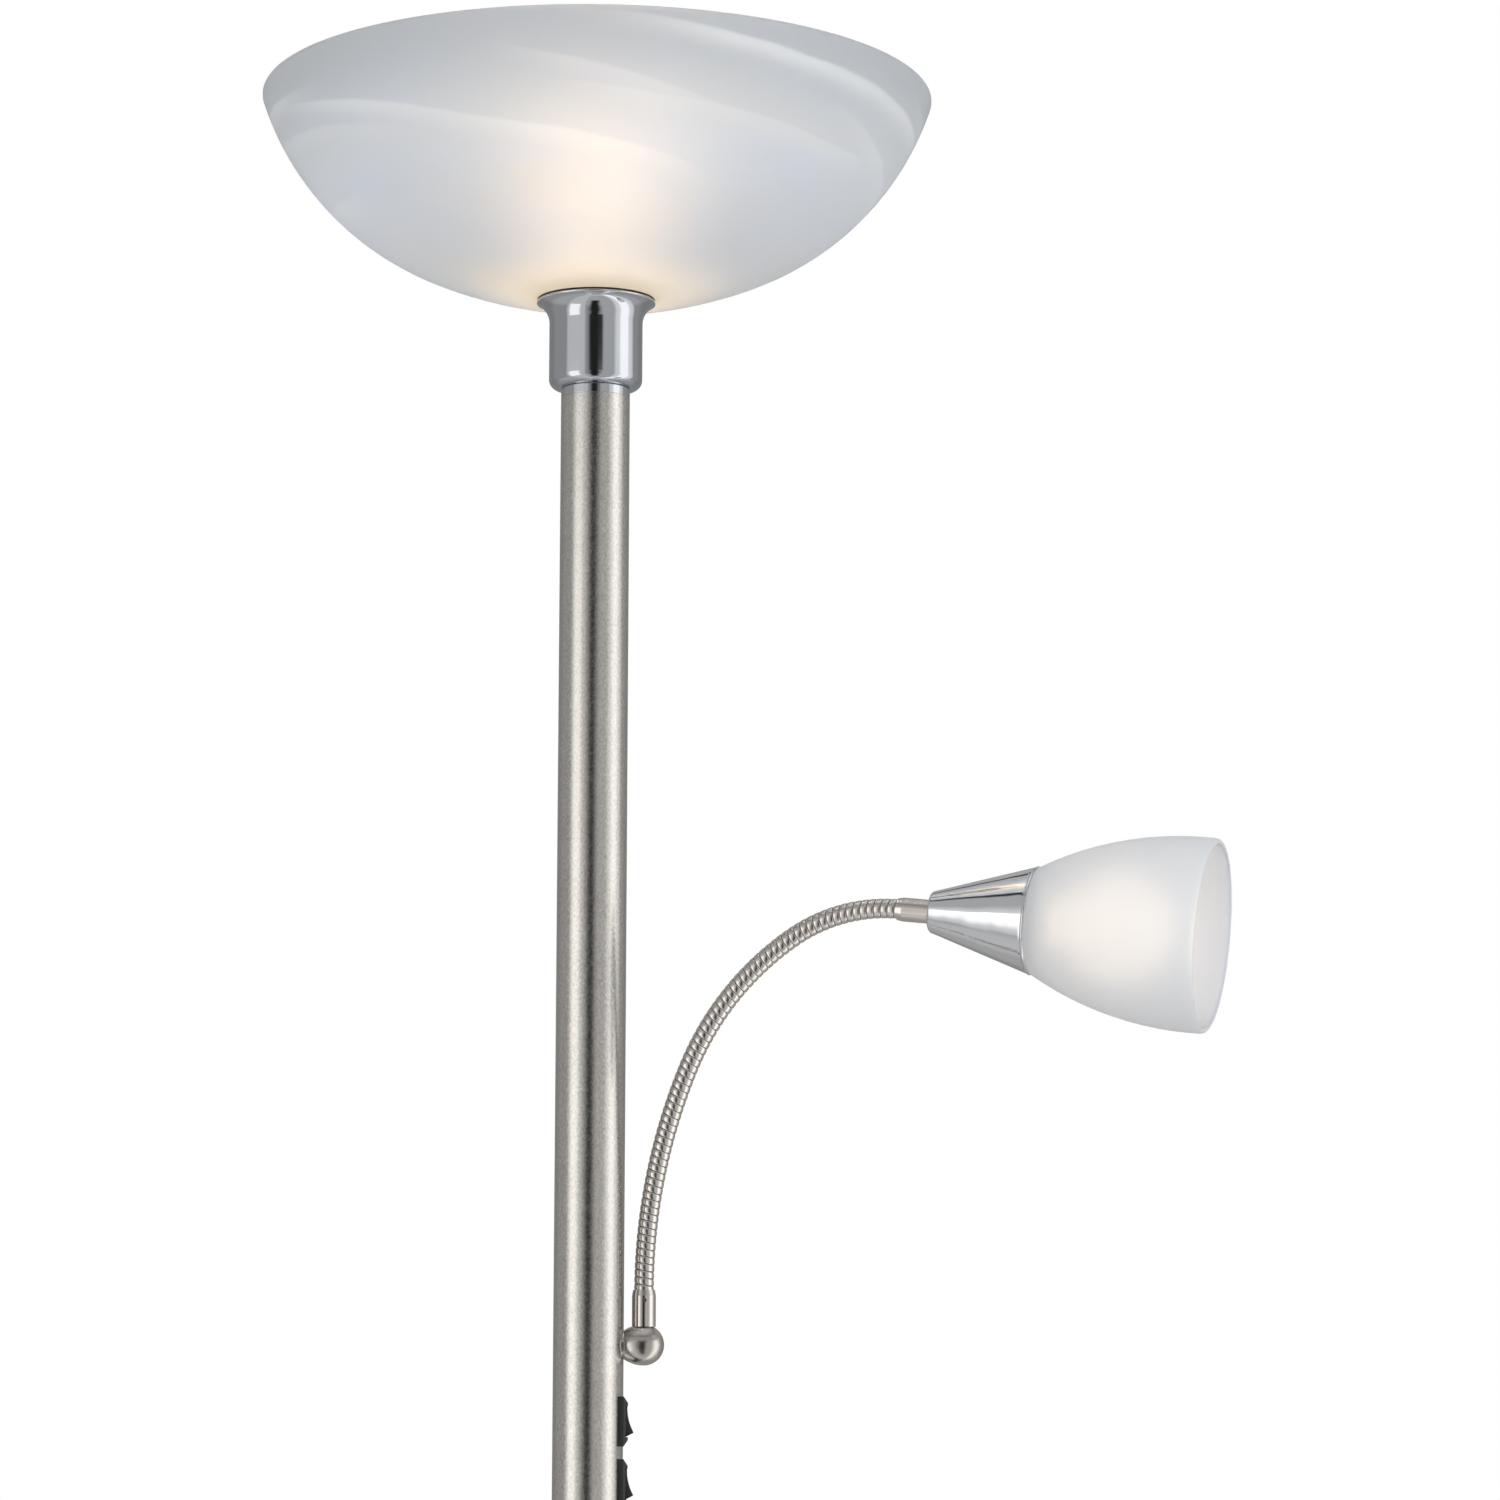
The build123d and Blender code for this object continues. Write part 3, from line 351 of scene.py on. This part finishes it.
def lathe(outline, steps=160):  # an outline of (radius, height), turned about Z
    bm = bmesh.new()
    points = [bm.verts.new((radius * mm, 0, height * mm)) for radius, height in held(outline)]
    lines = [bm.edges.new(pair) for pair in zip(points, points[1:])]
    bmesh.ops.spin(bm, geom=points + lines, cent=(0, 0, 0), axis=(0, 0, 1), angle=tau, steps=steps,
                   use_merge=True)
    bmesh.ops.remove_doubles(bm, verts=bm.verts, dist=1e-7)
    bmesh.ops.recalc_face_normals(bm, faces=bm.faces)
    return bm


def piece(name, bm, material, body=None, instead=(), crease=38):
    mesh = bpy.data.meshes.new(name)
    bm.to_mesh(mesh)
    bm.free()
    mesh.materials.append(material)
    mesh.shade_smooth()
    mesh.set_sharp_from_angle(angle=radians(crease))
    made = bpy.data.objects.new(name, mesh)
    scene.collection.objects.link(made)
    if body:
        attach(made, body)
    if instead:
        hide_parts(*instead)
    return made


# the line of the flexible arm
arm = {"pivotX": 22.4, "start": 1303.4, "swing": -19.5, "links": 9, "link": 23.1,
       "arcs": ((4, 23.1), (3, 34.0), (2, 39.2))}       # links in each arc, degrees it turns
armLength = arm["links"] * arm["link"]


def armPoint(distance):  # point and heading on the arm's centre line, before it is swung
    x, z, heading = arm["pivotX"], arm["start"], 90.0
    if distance <= 0:
        return x, z + distance, heading
    left = distance
    for links, turn in arm["arcs"]:
        length = links * arm["link"]
        run = min(left, length)
        end = heading - turn * run / length
        radius = length / radians(turn)
        x += radius * (sin(radians(heading)) - sin(radians(end)))
        z += radius * (cos(radians(end)) - cos(radians(heading)))
        heading = end
        left -= run
        if left <= 1e-9:
            break
    return x + left * cos(radians(heading)), z + left * sin(radians(heading)), heading


# the whole arm is swung about the upright through its pivot
swing = (Matrix.Translation((arm["pivotX"] * mm, 0, 0)) @ Matrix.Rotation(radians(arm["swing"]), 4, "Z")
         @ Matrix.Translation((-arm["pivotX"] * mm, 0, 0)))


def onArm(distance):  # where a straight piece's Z axis lies at that distance along the arm
    x, z, heading = armPoint(distance)
    turn = radians(heading)
    across, side = Vector((sin(turn), 0, -cos(turn))), Vector((0, 1, 0))
    ahead = Vector((cos(turn), 0, sin(turn)))
    axes = Matrix((across, side, ahead)).transposed().to_4x4()
    return swing @ Matrix.Translation((x * mm, 0, z * mm)) @ axes


def bendOntoArm(bm, start):  # the straight piece begins at Z = 0, `start` along the arm
    for vert in bm.verts:
        level = vert.co.z / mm
        vert.co = onArm(start + level) @ Vector((vert.co.x, vert.co.y, 0))


headAxes = onArm(armLength)                              # Z runs along the reading head

# finishes of the nodes carried over from the frame
nickelFinish = brushedNickel()
chromeFinish = polishedChrome("polishedChrome", *chromeLook["cup"])
# a brighter copy of the chrome for the cone: painted highlight
brightChrome = polishedChrome("brightChrome", *chromeLook["cone"])
steelFinish = plainSteel("turnedSteel", (0.66, 0.63, 0.60), (0.55, 0.525, 0.50), 0.22)
ferruleFinish = plainSteel("polishedSteel", (0.76, 0.72, 0.685), (0.66, 0.62, 0.59), 0.14, 90)
zincFinish = plainSteel("zincSteel", (0.62, 0.64, 0.66), (0.42, 0.44, 0.47), 0.38)
aluminiumFinish = plainSteel("rolledAluminium", (0.82, 0.82, 0.83), (0.70, 0.70, 0.72), 0.30)
brassFinish = plainSteel("stampedBrass", (0.80, 0.62, 0.30), (0.62, 0.45, 0.20), 0.30)
blackFinish = moulded("blackPlastic", (0.022, 0.023, 0.025), (0.012, 0.012, 0.013), 0.34)
holderFinish = moulded("holderPlastic", (0.85, 0.84, 0.80), (0.74, 0.73, 0.69), 0.42)
ceramicFinish = moulded("ceramic", (0.88, 0.87, 0.84), (0.80, 0.79, 0.75), 0.25, 500)
rubberFinish = moulded("rubber", (0.03, 0.03, 0.03), (0.015, 0.015, 0.015), 0.7, 900, 0.00005)
sheathFinish = moulded("leadSheath", (0.86, 0.86, 0.85), (0.76, 0.76, 0.75), 0.5, 300)

slotFinishes = {
    "brushed_nickel": nickelFinish,
    "chrome": chromeFinish,
    "gooseneck_steel": steelFinish,
    "alabaster_glass": alabasterGlass(),
    "frosted_glass": frostedGlass(),
    "bulb_glass": litBulb("bowlBulb", *glow["bowl"]),
    "black_plastic": blackFinish,
    "lampholder_plastic": holderFinish,
    "ceramic_white": ceramicFinish,
    "brass": brassFinish,
    "zinc_steel": zincFinish,
    "aluminium": aluminiumFinish,
    "cast_iron": castIron(),
    "felt": feltPad(),
    "rubber": rubberFinish,
    "lead_sheath": sheathFinish,
}
ownFinishes = {"base_cover": spunNickel(), "pivot_ball": steelFinish, "pivot_washer": steelFinish,
               "lower_ferrule": ferruleFinish, "upper_ferrule": ferruleFinish,
               "reading_bulb_glass": litBulb("readingBulb", *glow["reading"])}

for name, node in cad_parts.items():
    old = node.data.materials[0].name.split(".")[0]
    node.data.materials[0] = ownFinishes.get(name, slotFinishes[old])
print("finishes given to", len(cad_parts), "nodes")

# the glass bowl
bowl = {"rim": 1800.0, "seat": 1713.7, "hole": 18.5, "seatRadius": 24.9, "wall": 4.0,
        "shallow": 192.0, "bottom": 1712.1, "bend": 75.3, "edge": (140.4, 1799.2)}


def bowlOutline(fine=24):  # the rim arc is tangent to the shallow one round the axis
    wall, shallow, seat = bowl["wall"], bowl["shallow"], bowl["seatRadius"]
    centreZ = bowl["bottom"] + shallow
    bend = -degrees(atan2(sqrt(shallow ** 2 - bowl["bend"] ** 2), bowl["bend"]))
    first = -degrees(atan2(sqrt(shallow ** 2 - seat ** 2), seat))
    joinX, joinZ = bowl["bend"], centreZ + shallow * sin(radians(bend))
    inX, inZ = -cos(radians(bend)), -sin(radians(bend))
    chordX, chordZ = bowl["edge"][0] - joinX, bowl["edge"][1] - joinZ
    radius = (chordX ** 2 + chordZ ** 2) / (2 * (chordX * inX + chordZ * inZ))
    centre = (joinX + radius * inX, joinZ + radius * inZ)
    last = degrees(asin((bowl["rim"] - wall / 2 - centre[1]) / (radius - wall / 2)))
    outer = (arcPoints((0, centreZ), shallow, first, bend, fine)
             + arcPoints(centre, radius, bend, last, 2 * fine)[1:])
    inner = (arcPoints((0, centreZ), shallow - wall, first, bend, fine)
             + arcPoints(centre, radius - wall, bend, last, 2 * fine)[1:])
    reach, rimTurn = radius - wall / 2, radians(last)
    middle = (centre[0] + reach * cos(rimTurn), centre[1] + reach * sin(rimTurn))
    rim = arcPoints(middle, wall / 2, last, last + 180, 14)[1:-1]
    return ([(bowl["hole"], bowl["seat"])] + outer + rim + inner[::-1]
            + [(bowl["hole"], bowl["seat"] + wall), (bowl["hole"], bowl["seat"])])


piece("bowlGlass", lathe(bowlOutline(), fineSteps), slotFinishes["alabaster_glass"], "stand",
      ["glass_bowl"])
print("bowl")

# the chrome cup under the bowl
cup = {"bottom": 1675.8, "bore": 5.1, "radius": 19.4, "corner": 3.8, "flare": 1703.5, "lip": 24.7,
       "lipHeight": 1713.0, "lipDepth": 1.0, "lipRound": 0.45, "sheet": 1.2}


def cupOutline():
    low, wall, sheet = cup["bottom"], cup["radius"], cup["sheet"]
    side = arcPoints((wall - cup["corner"], low + cup["corner"]), cup["corner"], -90, 0, 10)
    chordX, chordZ = cup["lip"] - wall, cup["lipHeight"] - cup["lipDepth"] - cup["flare"]
    radius = (chordX ** 2 + chordZ ** 2) / (2 * chordX)
    last = 180 - degrees(atan2(chordZ, radius - chordX))
    flare = arcPoints((wall + radius, cup["flare"]), radius, 180, last, 14)
    edge = cup["lipRound"]
    lip = arcPoints((cup["lip"] - edge, cup["lipHeight"] - edge), edge, -30, 90, 6)
    inside = arcPoints((wall + radius, cup["flare"]), radius + sheet, last, 180, 14)
    corner = arcPoints((wall - cup["corner"], low + cup["corner"]), cup["corner"] - sheet, 0, -90, 10)
    return ([(cup["bore"], low)] + side + flare + lip + inside + corner
            + [(cup["bore"], low + sheet), (cup["bore"], low)])


piece("bowlCup", lathe(cupOutline(), fineSteps), chromeFinish, "stand", ["bowl_cup"])
print("cup")

# the reading head, drawn along Z from the end of the arm
cone = {"start": 13.7, "small": 8.6, "end": 57.3, "large": 21.5, "lip": 21.9, "bore": 4.06, "mouth": 11.5,
        "sheet": 1.2, "round": 1.6, "bead": 0.75,
        "groove": ((0.15, 2.1), (0.1, 1.7))}            # depth, distance from the wide end


def coneOutline():
    start, end, corner, edge = cone["start"], cone["end"], cone["round"], cone["bead"]
    back = arcPoints((cone["small"] - corner, start + corner), corner, -90, -15, 8)
    groove = [(cone["large"] - depth, end - away) for depth, away in cone["groove"]]
    bead = arcPoints((cone["lip"] - edge, end - edge), edge, -60, 90, 10)
    return ([(cone["bore"], start)] + back + groove + bead
            + [(cone["mouth"], end), (cone["mouth"], end - cone["sheet"]),
               (cone["large"] - 1.7, end - cone["sheet"]), (cone["small"] - 1.0, start + 2.4),
               (cone["small"] - 2.2, start + cone["sheet"]), (cone["bore"], start + cone["sheet"]),
               (cone["bore"], start)])


shade = {"start": 57.3, "neck": 21.6, "middle": (34.9, 90.3), "mouth": (38.9, 129.2), "wall": 2.8,
         "hole": 12.1, "lipDrop": 1.2}


def circleThrough(first, second, third):  # centre and radius
    (ax, ay), (bx, by), (cx, cy) = first, second, third
    a, b, c = ax * ax + ay * ay, bx * bx + by * by, cx * cx + cy * cy
    d = 2 * (ax * (by - cy) + bx * (cy - ay) + cx * (ay - by))
    x = (a * (by - cy) + b * (cy - ay) + c * (ay - by)) / d
    y = (a * (cx - bx) + b * (ax - cx) + c * (bx - ax)) / d
    return (x, y), hypot(ax - x, ay - y)


def shadeOutline(centre, radius, fine=48):
    neck, mouth, wall = (shade["neck"], shade["start"]), shade["mouth"], shade["wall"]
    first = degrees(atan2(neck[1] - centre[1], neck[0] - centre[0]))
    last = degrees(atan2(mouth[1] - centre[1], mouth[0] - centre[0]))
    outside = arcPoints(centre, radius, first, last, fine)
    lipAt = (outside[-1][0] - wall / 2, outside[-1][1] - shade["lipDrop"])
    outside = [point for point in outside if point[1] < lipAt[1]]
    rim = arcPoints(lipAt, wall / 2 - 0.1, 0, 180, 10)
    inside = arcPoints(centre, radius - wall, last, first, fine)
    inside = [point for point in inside if shade["start"] + wall < point[1] < lipAt[1]]
    floor = shade["start"] + wall
    return ([(shade["hole"], shade["start"])] + outside + rim + inside
            + [(shade["neck"] - wall, floor), (shade["hole"], floor), (shade["hole"], shade["start"])])


def shadeGlass():
    centre, radius = circleThrough((shade["neck"], shade["start"]), shade["middle"], shade["mouth"])
    bm = lathe(shadeOutline(centre, radius))
    inner = bm.verts.layers.float.new("inner")           # 1 inside the shade, 0 outside it
    for vert in bm.verts:
        away = hypot(hypot(vert.co.x, vert.co.y) / mm - centre[0], vert.co.z / mm - centre[1])
        vert[inner] = away < radius - shade["wall"] * 0.7
    return bm


def inHead(bm):
    bmesh.ops.transform(bm, matrix=headAxes, verts=bm.verts)
    return bm


piece("readingCone", inHead(lathe(coneOutline())), brightChrome, "reading_head", ["reading_cone"])
piece("readingShade", inHead(shadeGlass()), slotFinishes["frosted_glass"], "reading_head",
      ["reading_shade"], crease=60)
print("reading head")

# the switches, with their moulded edges rounded
# edges that turn more than `sharp` degrees are rounded, and faces within `flat` degrees are one face
moulding = {"round": 0.35, "steps": 3, "flat": 1, "sharp": 25, "bodies": {
    "upper_switch_housing": "stand", "lower_switch_housing": "stand",
    "upper_rocker": "upper_rocker", "lower_rocker": "lower_rocker"}}


def roundedCopy(source, amount):
    bm = bmesh.new()
    bm.from_mesh(source.data)
    bmesh.ops.transform(bm, matrix=source.matrix_world, verts=bm.verts)
    bmesh.ops.remove_doubles(bm, verts=bm.verts, dist=1e-6)
    bmesh.ops.dissolve_limit(bm, angle_limit=radians(moulding["flat"]), verts=bm.verts, edges=bm.edges)
    least = radians(moulding["sharp"])
    sharp = [edge for edge in bm.edges if edge.is_manifold and edge.calc_face_angle() > least]
    bmesh.ops.bevel(bm, geom=sharp, offset=amount * mm, segments=moulding["steps"], profile=0.5,
                    affect="EDGES", clamp_overlap=True)
    return bm


for name, body in moulding["bodies"].items():
    words = name.split("_")
    rounded = roundedCopy(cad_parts[name], moulding["round"])
    piece(words[0] + words[-1].title(), rounded, blackFinish, body, [name], crease=30)
print("switches")

# the flexible hose: wire of a domed section, wound left-handed, eight turns to a link
hose = {"turns": 8, "endTurns": 5.5, "steps": 44, "groove": 3.5, "crest": 4.0, "bore": 3.0, "gap": 0.05}
pitch = arm["link"] / hose["turns"]
armBodies = ["arm_root"] + [f"arm_link_{number}" for number in range(2, 9)] + ["reading_head"]


def coil(turns, phase):  # a straight coil from Z = 0, its wire's end capped
    bm = bmesh.new()
    width, dome = pitch / 2 - hose["gap"], hose["crest"] - hose["groove"]
    section = [(width * x, hose["groove"] + dome * max(y, 0.0) ** 0.5)
               for x, y in arcPoints((0, 0), 1.0, 180, 0, 10)]
    section += [(width, hose["bore"]), (-width, hose["bore"])]
    points = [bm.verts.new((radius * mm, 0, z * mm)) for z, radius in section]
    lines = [bm.edges.new(pair) for pair in zip(points, points[1:] + points[:1])]
    bmesh.ops.rotate(bm, verts=points, cent=(0, 0, 0), matrix=Matrix.Rotation(phase, 3, "Z"))
    steps = round(turns * hose["steps"])
    bmesh.ops.spin(bm, geom=points + lines, cent=(0, 0, 0), axis=(0, 0, -1), angle=turns * tau,
                   steps=steps, dvec=(0, 0, turns * pitch * mm / steps))
    bmesh.ops.holes_fill(bm, edges=[edge for edge in bm.edges if edge.is_boundary])
    bmesh.ops.recalc_face_normals(bm, faces=bm.faces)
    crest = bm.verts.layers.float.new("crest")
    for vert in bm.verts:
        vert[crest] = (hypot(vert.co.x, vert.co.y) / mm - hose["groove"]) / dome
    return bm


def tube(length, radius, sides=20, pace=2.5):
    bm = bmesh.new()
    ring = bmesh.ops.create_circle(bm, segments=sides, radius=radius * mm, cap_ends=True)
    face = bm.faces[:]
    steps = max(2, round(length / pace))
    for step in range(steps):
        made = bmesh.ops.extrude_face_region(bm, geom=face, use_keep_orig=step == 0)
        face = [item for item in made["geom"] if isinstance(item, bmesh.types.BMFace)]
        moved = [item for item in made["geom"] if isinstance(item, bmesh.types.BMVert)]
        bmesh.ops.translate(bm, vec=(0, 0, length * mm / steps), verts=moved)
    bmesh.ops.recalc_face_normals(bm, faces=bm.faces)
    return bm


def armPiece(name, bm, start, end, number, material):  # number 0 and 9 lie on one link alone
    bendOntoArm(bm, start)
    made = piece(name, bm, material)
    if number == 0:
        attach(made, armBodies[0])
    elif number == 9:
        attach(made, armBodies[8])
    else:
        onArm(start).translation
        onArm(end).translation
        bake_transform(made)
    return made


# the lead runs from the switches up the pole and through the pivot ball, then along the arm into the head
lead = {"radius": 1.6, "inHead": 33.0,
        "inPole": ((-9.9, 2.6, 1228.5), (-9.9, 2.6, 1235.5), (-6.5, 7.6, 1248), (-6.5, 7.6, 1262),
                   (-3, 0, 1281.3), (12, 0, 1281.3)),
        "inBall": ((12, 0, 1281.3), (18, 0, 1281.3), (22.4, 0, 1281.3), (22.4, 0, 1287),
                   (22.4, 0, 1303.4))}
hoseFinish = woundSteel()
for number in range(10):
    first, last = number == 0, number == 9
    turns = hose["endTurns"] if first or last else hose["turns"]
    start = arm["link"] / 2 - turns * pitch if first else (number - 0.5) * arm["link"]
    wound = coil(turns, pi if first else 0.0)
    armPiece(f"hose{number}", wound, start, start + turns * pitch, number, hoseFinish)
    leadStart = 0.0 if first else start
    leadLength = arm["link"] / 2 if first else arm["link"]
    leadLength += lead["inHead"] - arm["link"] / 2 if last else 0.0
    armPiece(f"armLead{number}", tube(leadLength, lead["radius"]), leadStart, leadStart + leadLength,
             number, sheathFinish)
for number in range(1, 10):
    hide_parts(f"gooseneck_link_{number}")
print("hose")


def bentTube(points, radius):  # a tube round one smooth line through a route of points
    curve = bpy.data.curves.new("route", "CURVE")
    curve.dimensions, curve.bevel_depth, curve.bevel_resolution = "3D", radius * mm, 5
    curve.use_fill_caps = True
    spline = curve.splines.new("NURBS")
    spline.points.add(len(points) - 1)
    for point, place in zip(spline.points, points):
        point.co = (*(value * mm for value in place), 1.0)
    spline.order_u, spline.use_endpoint_u, spline.resolution_u = 3, True, 12
    route = bpy.data.objects.new("route", curve)
    mesh = bpy.data.meshes.new_from_object(route)
    bm = bmesh.new()
    bm.from_mesh(mesh)
    bmesh.ops.recalc_face_normals(bm, faces=bm.faces)
    bpy.data.objects.remove(route)
    return bm


poleLead = piece("poleLead", bentTube(lead["inPole"], lead["radius"]), sheathFinish, "stand")
piece("ballLead", bentTube(lead["inBall"], lead["radius"]), sheathFinish, "arm_root")
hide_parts("reading_lead")
print("lead")

# the studio
backdrop = {"floor": 8.0, "diffuse": 0.80, "nearFloor": 0.15, "farFloor": 0.4}
floorMesh = bmesh.new()
bmesh.ops.create_circle(floorMesh, segments=96, radius=backdrop["floor"], cap_ends=True)
floorFinish = finish("studioFloor", Roughness=0.6, Specular_IOR_Level=0.2)
mottle = floorFinish.noise(floorFinish.place((3, 3, 3)), 1.0, 2.0)
floorTone = floorFinish.mix(mottle, (0.80, 0.80, 0.80), (0.84, 0.84, 0.84))
floorMaterial = paint(floorFinish, Base_Color=floorTone)
# polished metal sees the floor near the lamp, and the studio's boxes further out
mirrored = Num(floorFinish, floorFinish.node("LightPath", {}, {}).outputs["Is Glossy Ray"])
outward = floorFinish.distance(floorFinish.place()).fade(backdrop["nearFloor"], backdrop["farFloor"])
clear = floorFinish.node("BsdfTransparent", {}, {})
mixed = floorFinish.node("MixShader", {}, {0: mirrored * outward, 1: floorFinish.shader.outputs[0],
                                           2: clear.outputs[0]})
floorFinish.feed(floorFinish.tree.nodes["Material Output"].inputs[0], mixed.outputs[0])
floor = piece("floor", floorMesh, floorMaterial)

# what polished metal sees: soft boxes and panels, each with its left and right edge in degrees to the
# right of the camera, the softness of those edges, its lower and upper edge in degrees of height, and
# its brightness
boxes = {
    "key box": (57, 90, 9, -90, 90, 1.5),
    "key glow": (44, 104, 10, -90, 90, 0.95),
    "left box": (-74, -40, 8, -36, 11.8, 1.45),
    "left wall": (-82, -25, 8, -90, 90, 0.70),
    "right panel": (10, 75, 6, -90, 90, 0.52),
}
# the dark gap between the boxes round the camera: its left and right edge and their softness below and
# above the height where it changes, the heights between which it begins, and how far its edges stray
gap = {"low": (-17, 6, 6), "high": (-19, 17, 4), "change": (12.1, 12.35), "start": (-60, -50), "wave": 8,
       "tone": 0.02}
# the walls behind the boxes, an even grey above them, and the ceiling, with heights in degrees
studio = {"surround": 0.37, "low": 0.52, "lowFade": (-36, -22), "behind": (115, 140, 1.0, 0.75),
          "boxEdge": 0.4, "high": 0.42, "highFade": (12.8, 28), "top": 48, "seam": 4, "above": 0.45,
          "overhead": 0.85, "overheadFade": (60, 80)}


def studioWorld():
    world = bpy.data.worlds.new("studio")
    scene.world = world
    made = Finish(world)
    made.tree.nodes.clear()
    direction = made.node("TexCoord", {}, {}).outputs["Generated"]
    x, y, z = made.axes(direction)
    turn = x.maths("ARCTAN2", x, 0.0 - y) * degrees(1)
    rise = z.maths("ARCSINE", z) * degrees(1)
    stray = (made.noise(direction, 3.0, 2.0) - 0.5) * gap["wave"]

    def between(value, first, last, soft):  # 1 between two edges, fading over them
        return value.fade(first - soft, first + soft) * value.fade(last - soft, last + soft, 1.0, 0.0)

    band = rise.fade(*studio["lowFade"], studio["low"], studio["surround"])
    band = band * turn.size().fade(*studio["behind"])
    for left, right, soft, lowest, highest, brightness in boxes.values():
        box = between(turn, left, right, soft) * between(rise, lowest, highest, studio["boxEdge"])
        band = band.maths("MAXIMUM", band, box * brightness)
    upper = rise.fade(*gap["change"])
    strayed = turn + stray
    dark = between(strayed, *gap["low"]) * (1 - upper) + between(strayed, *gap["high"]) * upper
    band = band * (1 - dark * rise.fade(*gap["start"])) + dark * gap["tone"]
    high = rise.fade(*studio["highFade"])
    band = band * (1 - high) + high * studio["high"]
    top, seam = studio["top"], studio["seam"]
    walls = rise.fade(top - seam, top, 1.0, 0.0)
    ceiling = rise.fade(top, top + seam) * rise.fade(*studio["overheadFade"], studio["above"],
                                                     studio["overhead"])
    glossy = band * walls + ceiling
    path = made.node("LightPath", {}, {})
    seen = Num(made, path.outputs["Is Camera Ray"]) + Num(made, path.outputs["Is Transmission Ray"])
    shiny = Num(made, path.outputs["Is Glossy Ray"])
    plain = made.node("Background", {}, {"Color": (0.97, 0.985, 1.0), "Strength": backdrop["diffuse"]})
    mirror = made.node("Background", {}, {"Color": (1.0, 0.99, 0.975), "Strength": glossy})
    white = made.node("Background", {}, {"Color": (1.0, 1.0, 1.0), "Strength": 1.0})
    first = made.node("MixShader", {}, {0: shiny, 1: plain.outputs[0], 2: mirror.outputs[0]})
    second = made.node("MixShader", {}, {0: seen.clamped(), 1: first.outputs[0], 2: white.outputs[0]})
    made.node("OutputWorld", {}, {0: second.outputs[0]})


studioWorld()


# each lamp's place and size in metres, its power in watts and its colour
lamps = {"keyLamp": ((1.8, -2.2, 2.9), 1.6, 22, (0.96, 0.98, 1.0)),
         "fillLamp": ((-2.4, -1.6, 2.0), 1.8, 10, (1.0, 0.99, 0.97)),
         "bounceLamp": ((0.5, -1.5, 0.75), 0.9, 4, (1.0, 0.99, 0.98))}
lampAim = Vector((0, 0, 1.3))                            # at the height of the arm


def softLamp(name, place, size, power, colour):
    lamp = bpy.data.lights.new(name, "AREA")
    lamp.shape, lamp.size, lamp.energy, lamp.color = "SQUARE", size, power, colour
    made = bpy.data.objects.new(name, lamp)
    made.location = place
    made.rotation_euler = (lampAim - Vector(place)).to_track_quat("-Z", "Y").to_euler()
    made.visible_glossy = False
    scene.collection.objects.link(made)


for name, values in lamps.items():
    softLamp(name, *values)
print("studio")

# the camera, matched to the photo
shot = {"place": (-0.063, -2.0, 1.2452), "pitch": 7.952, "yaw": 3.657, "roll": 0.176, "focal": 4905.3,
        "frame": 1500, "film": 36.0}
lens = bpy.data.cameras.new("camera")
lens.sensor_width = shot["film"]
lens.lens = shot["focal"] / shot["frame"] * shot["film"]
camera = bpy.data.objects.new("camera", lens)
camera.matrix_world = (Matrix.Translation(shot["place"]) @ Matrix.Rotation(radians(-shot["yaw"]), 4, "Z")
                       @ Matrix.Rotation(radians(90 + shot["pitch"]), 4, "X")
                       @ Matrix.Rotation(radians(shot["roll"]), 4, "Z"))
scene.collection.objects.link(camera)
scene.camera = camera
scene.view_settings.view_transform = "Standard"
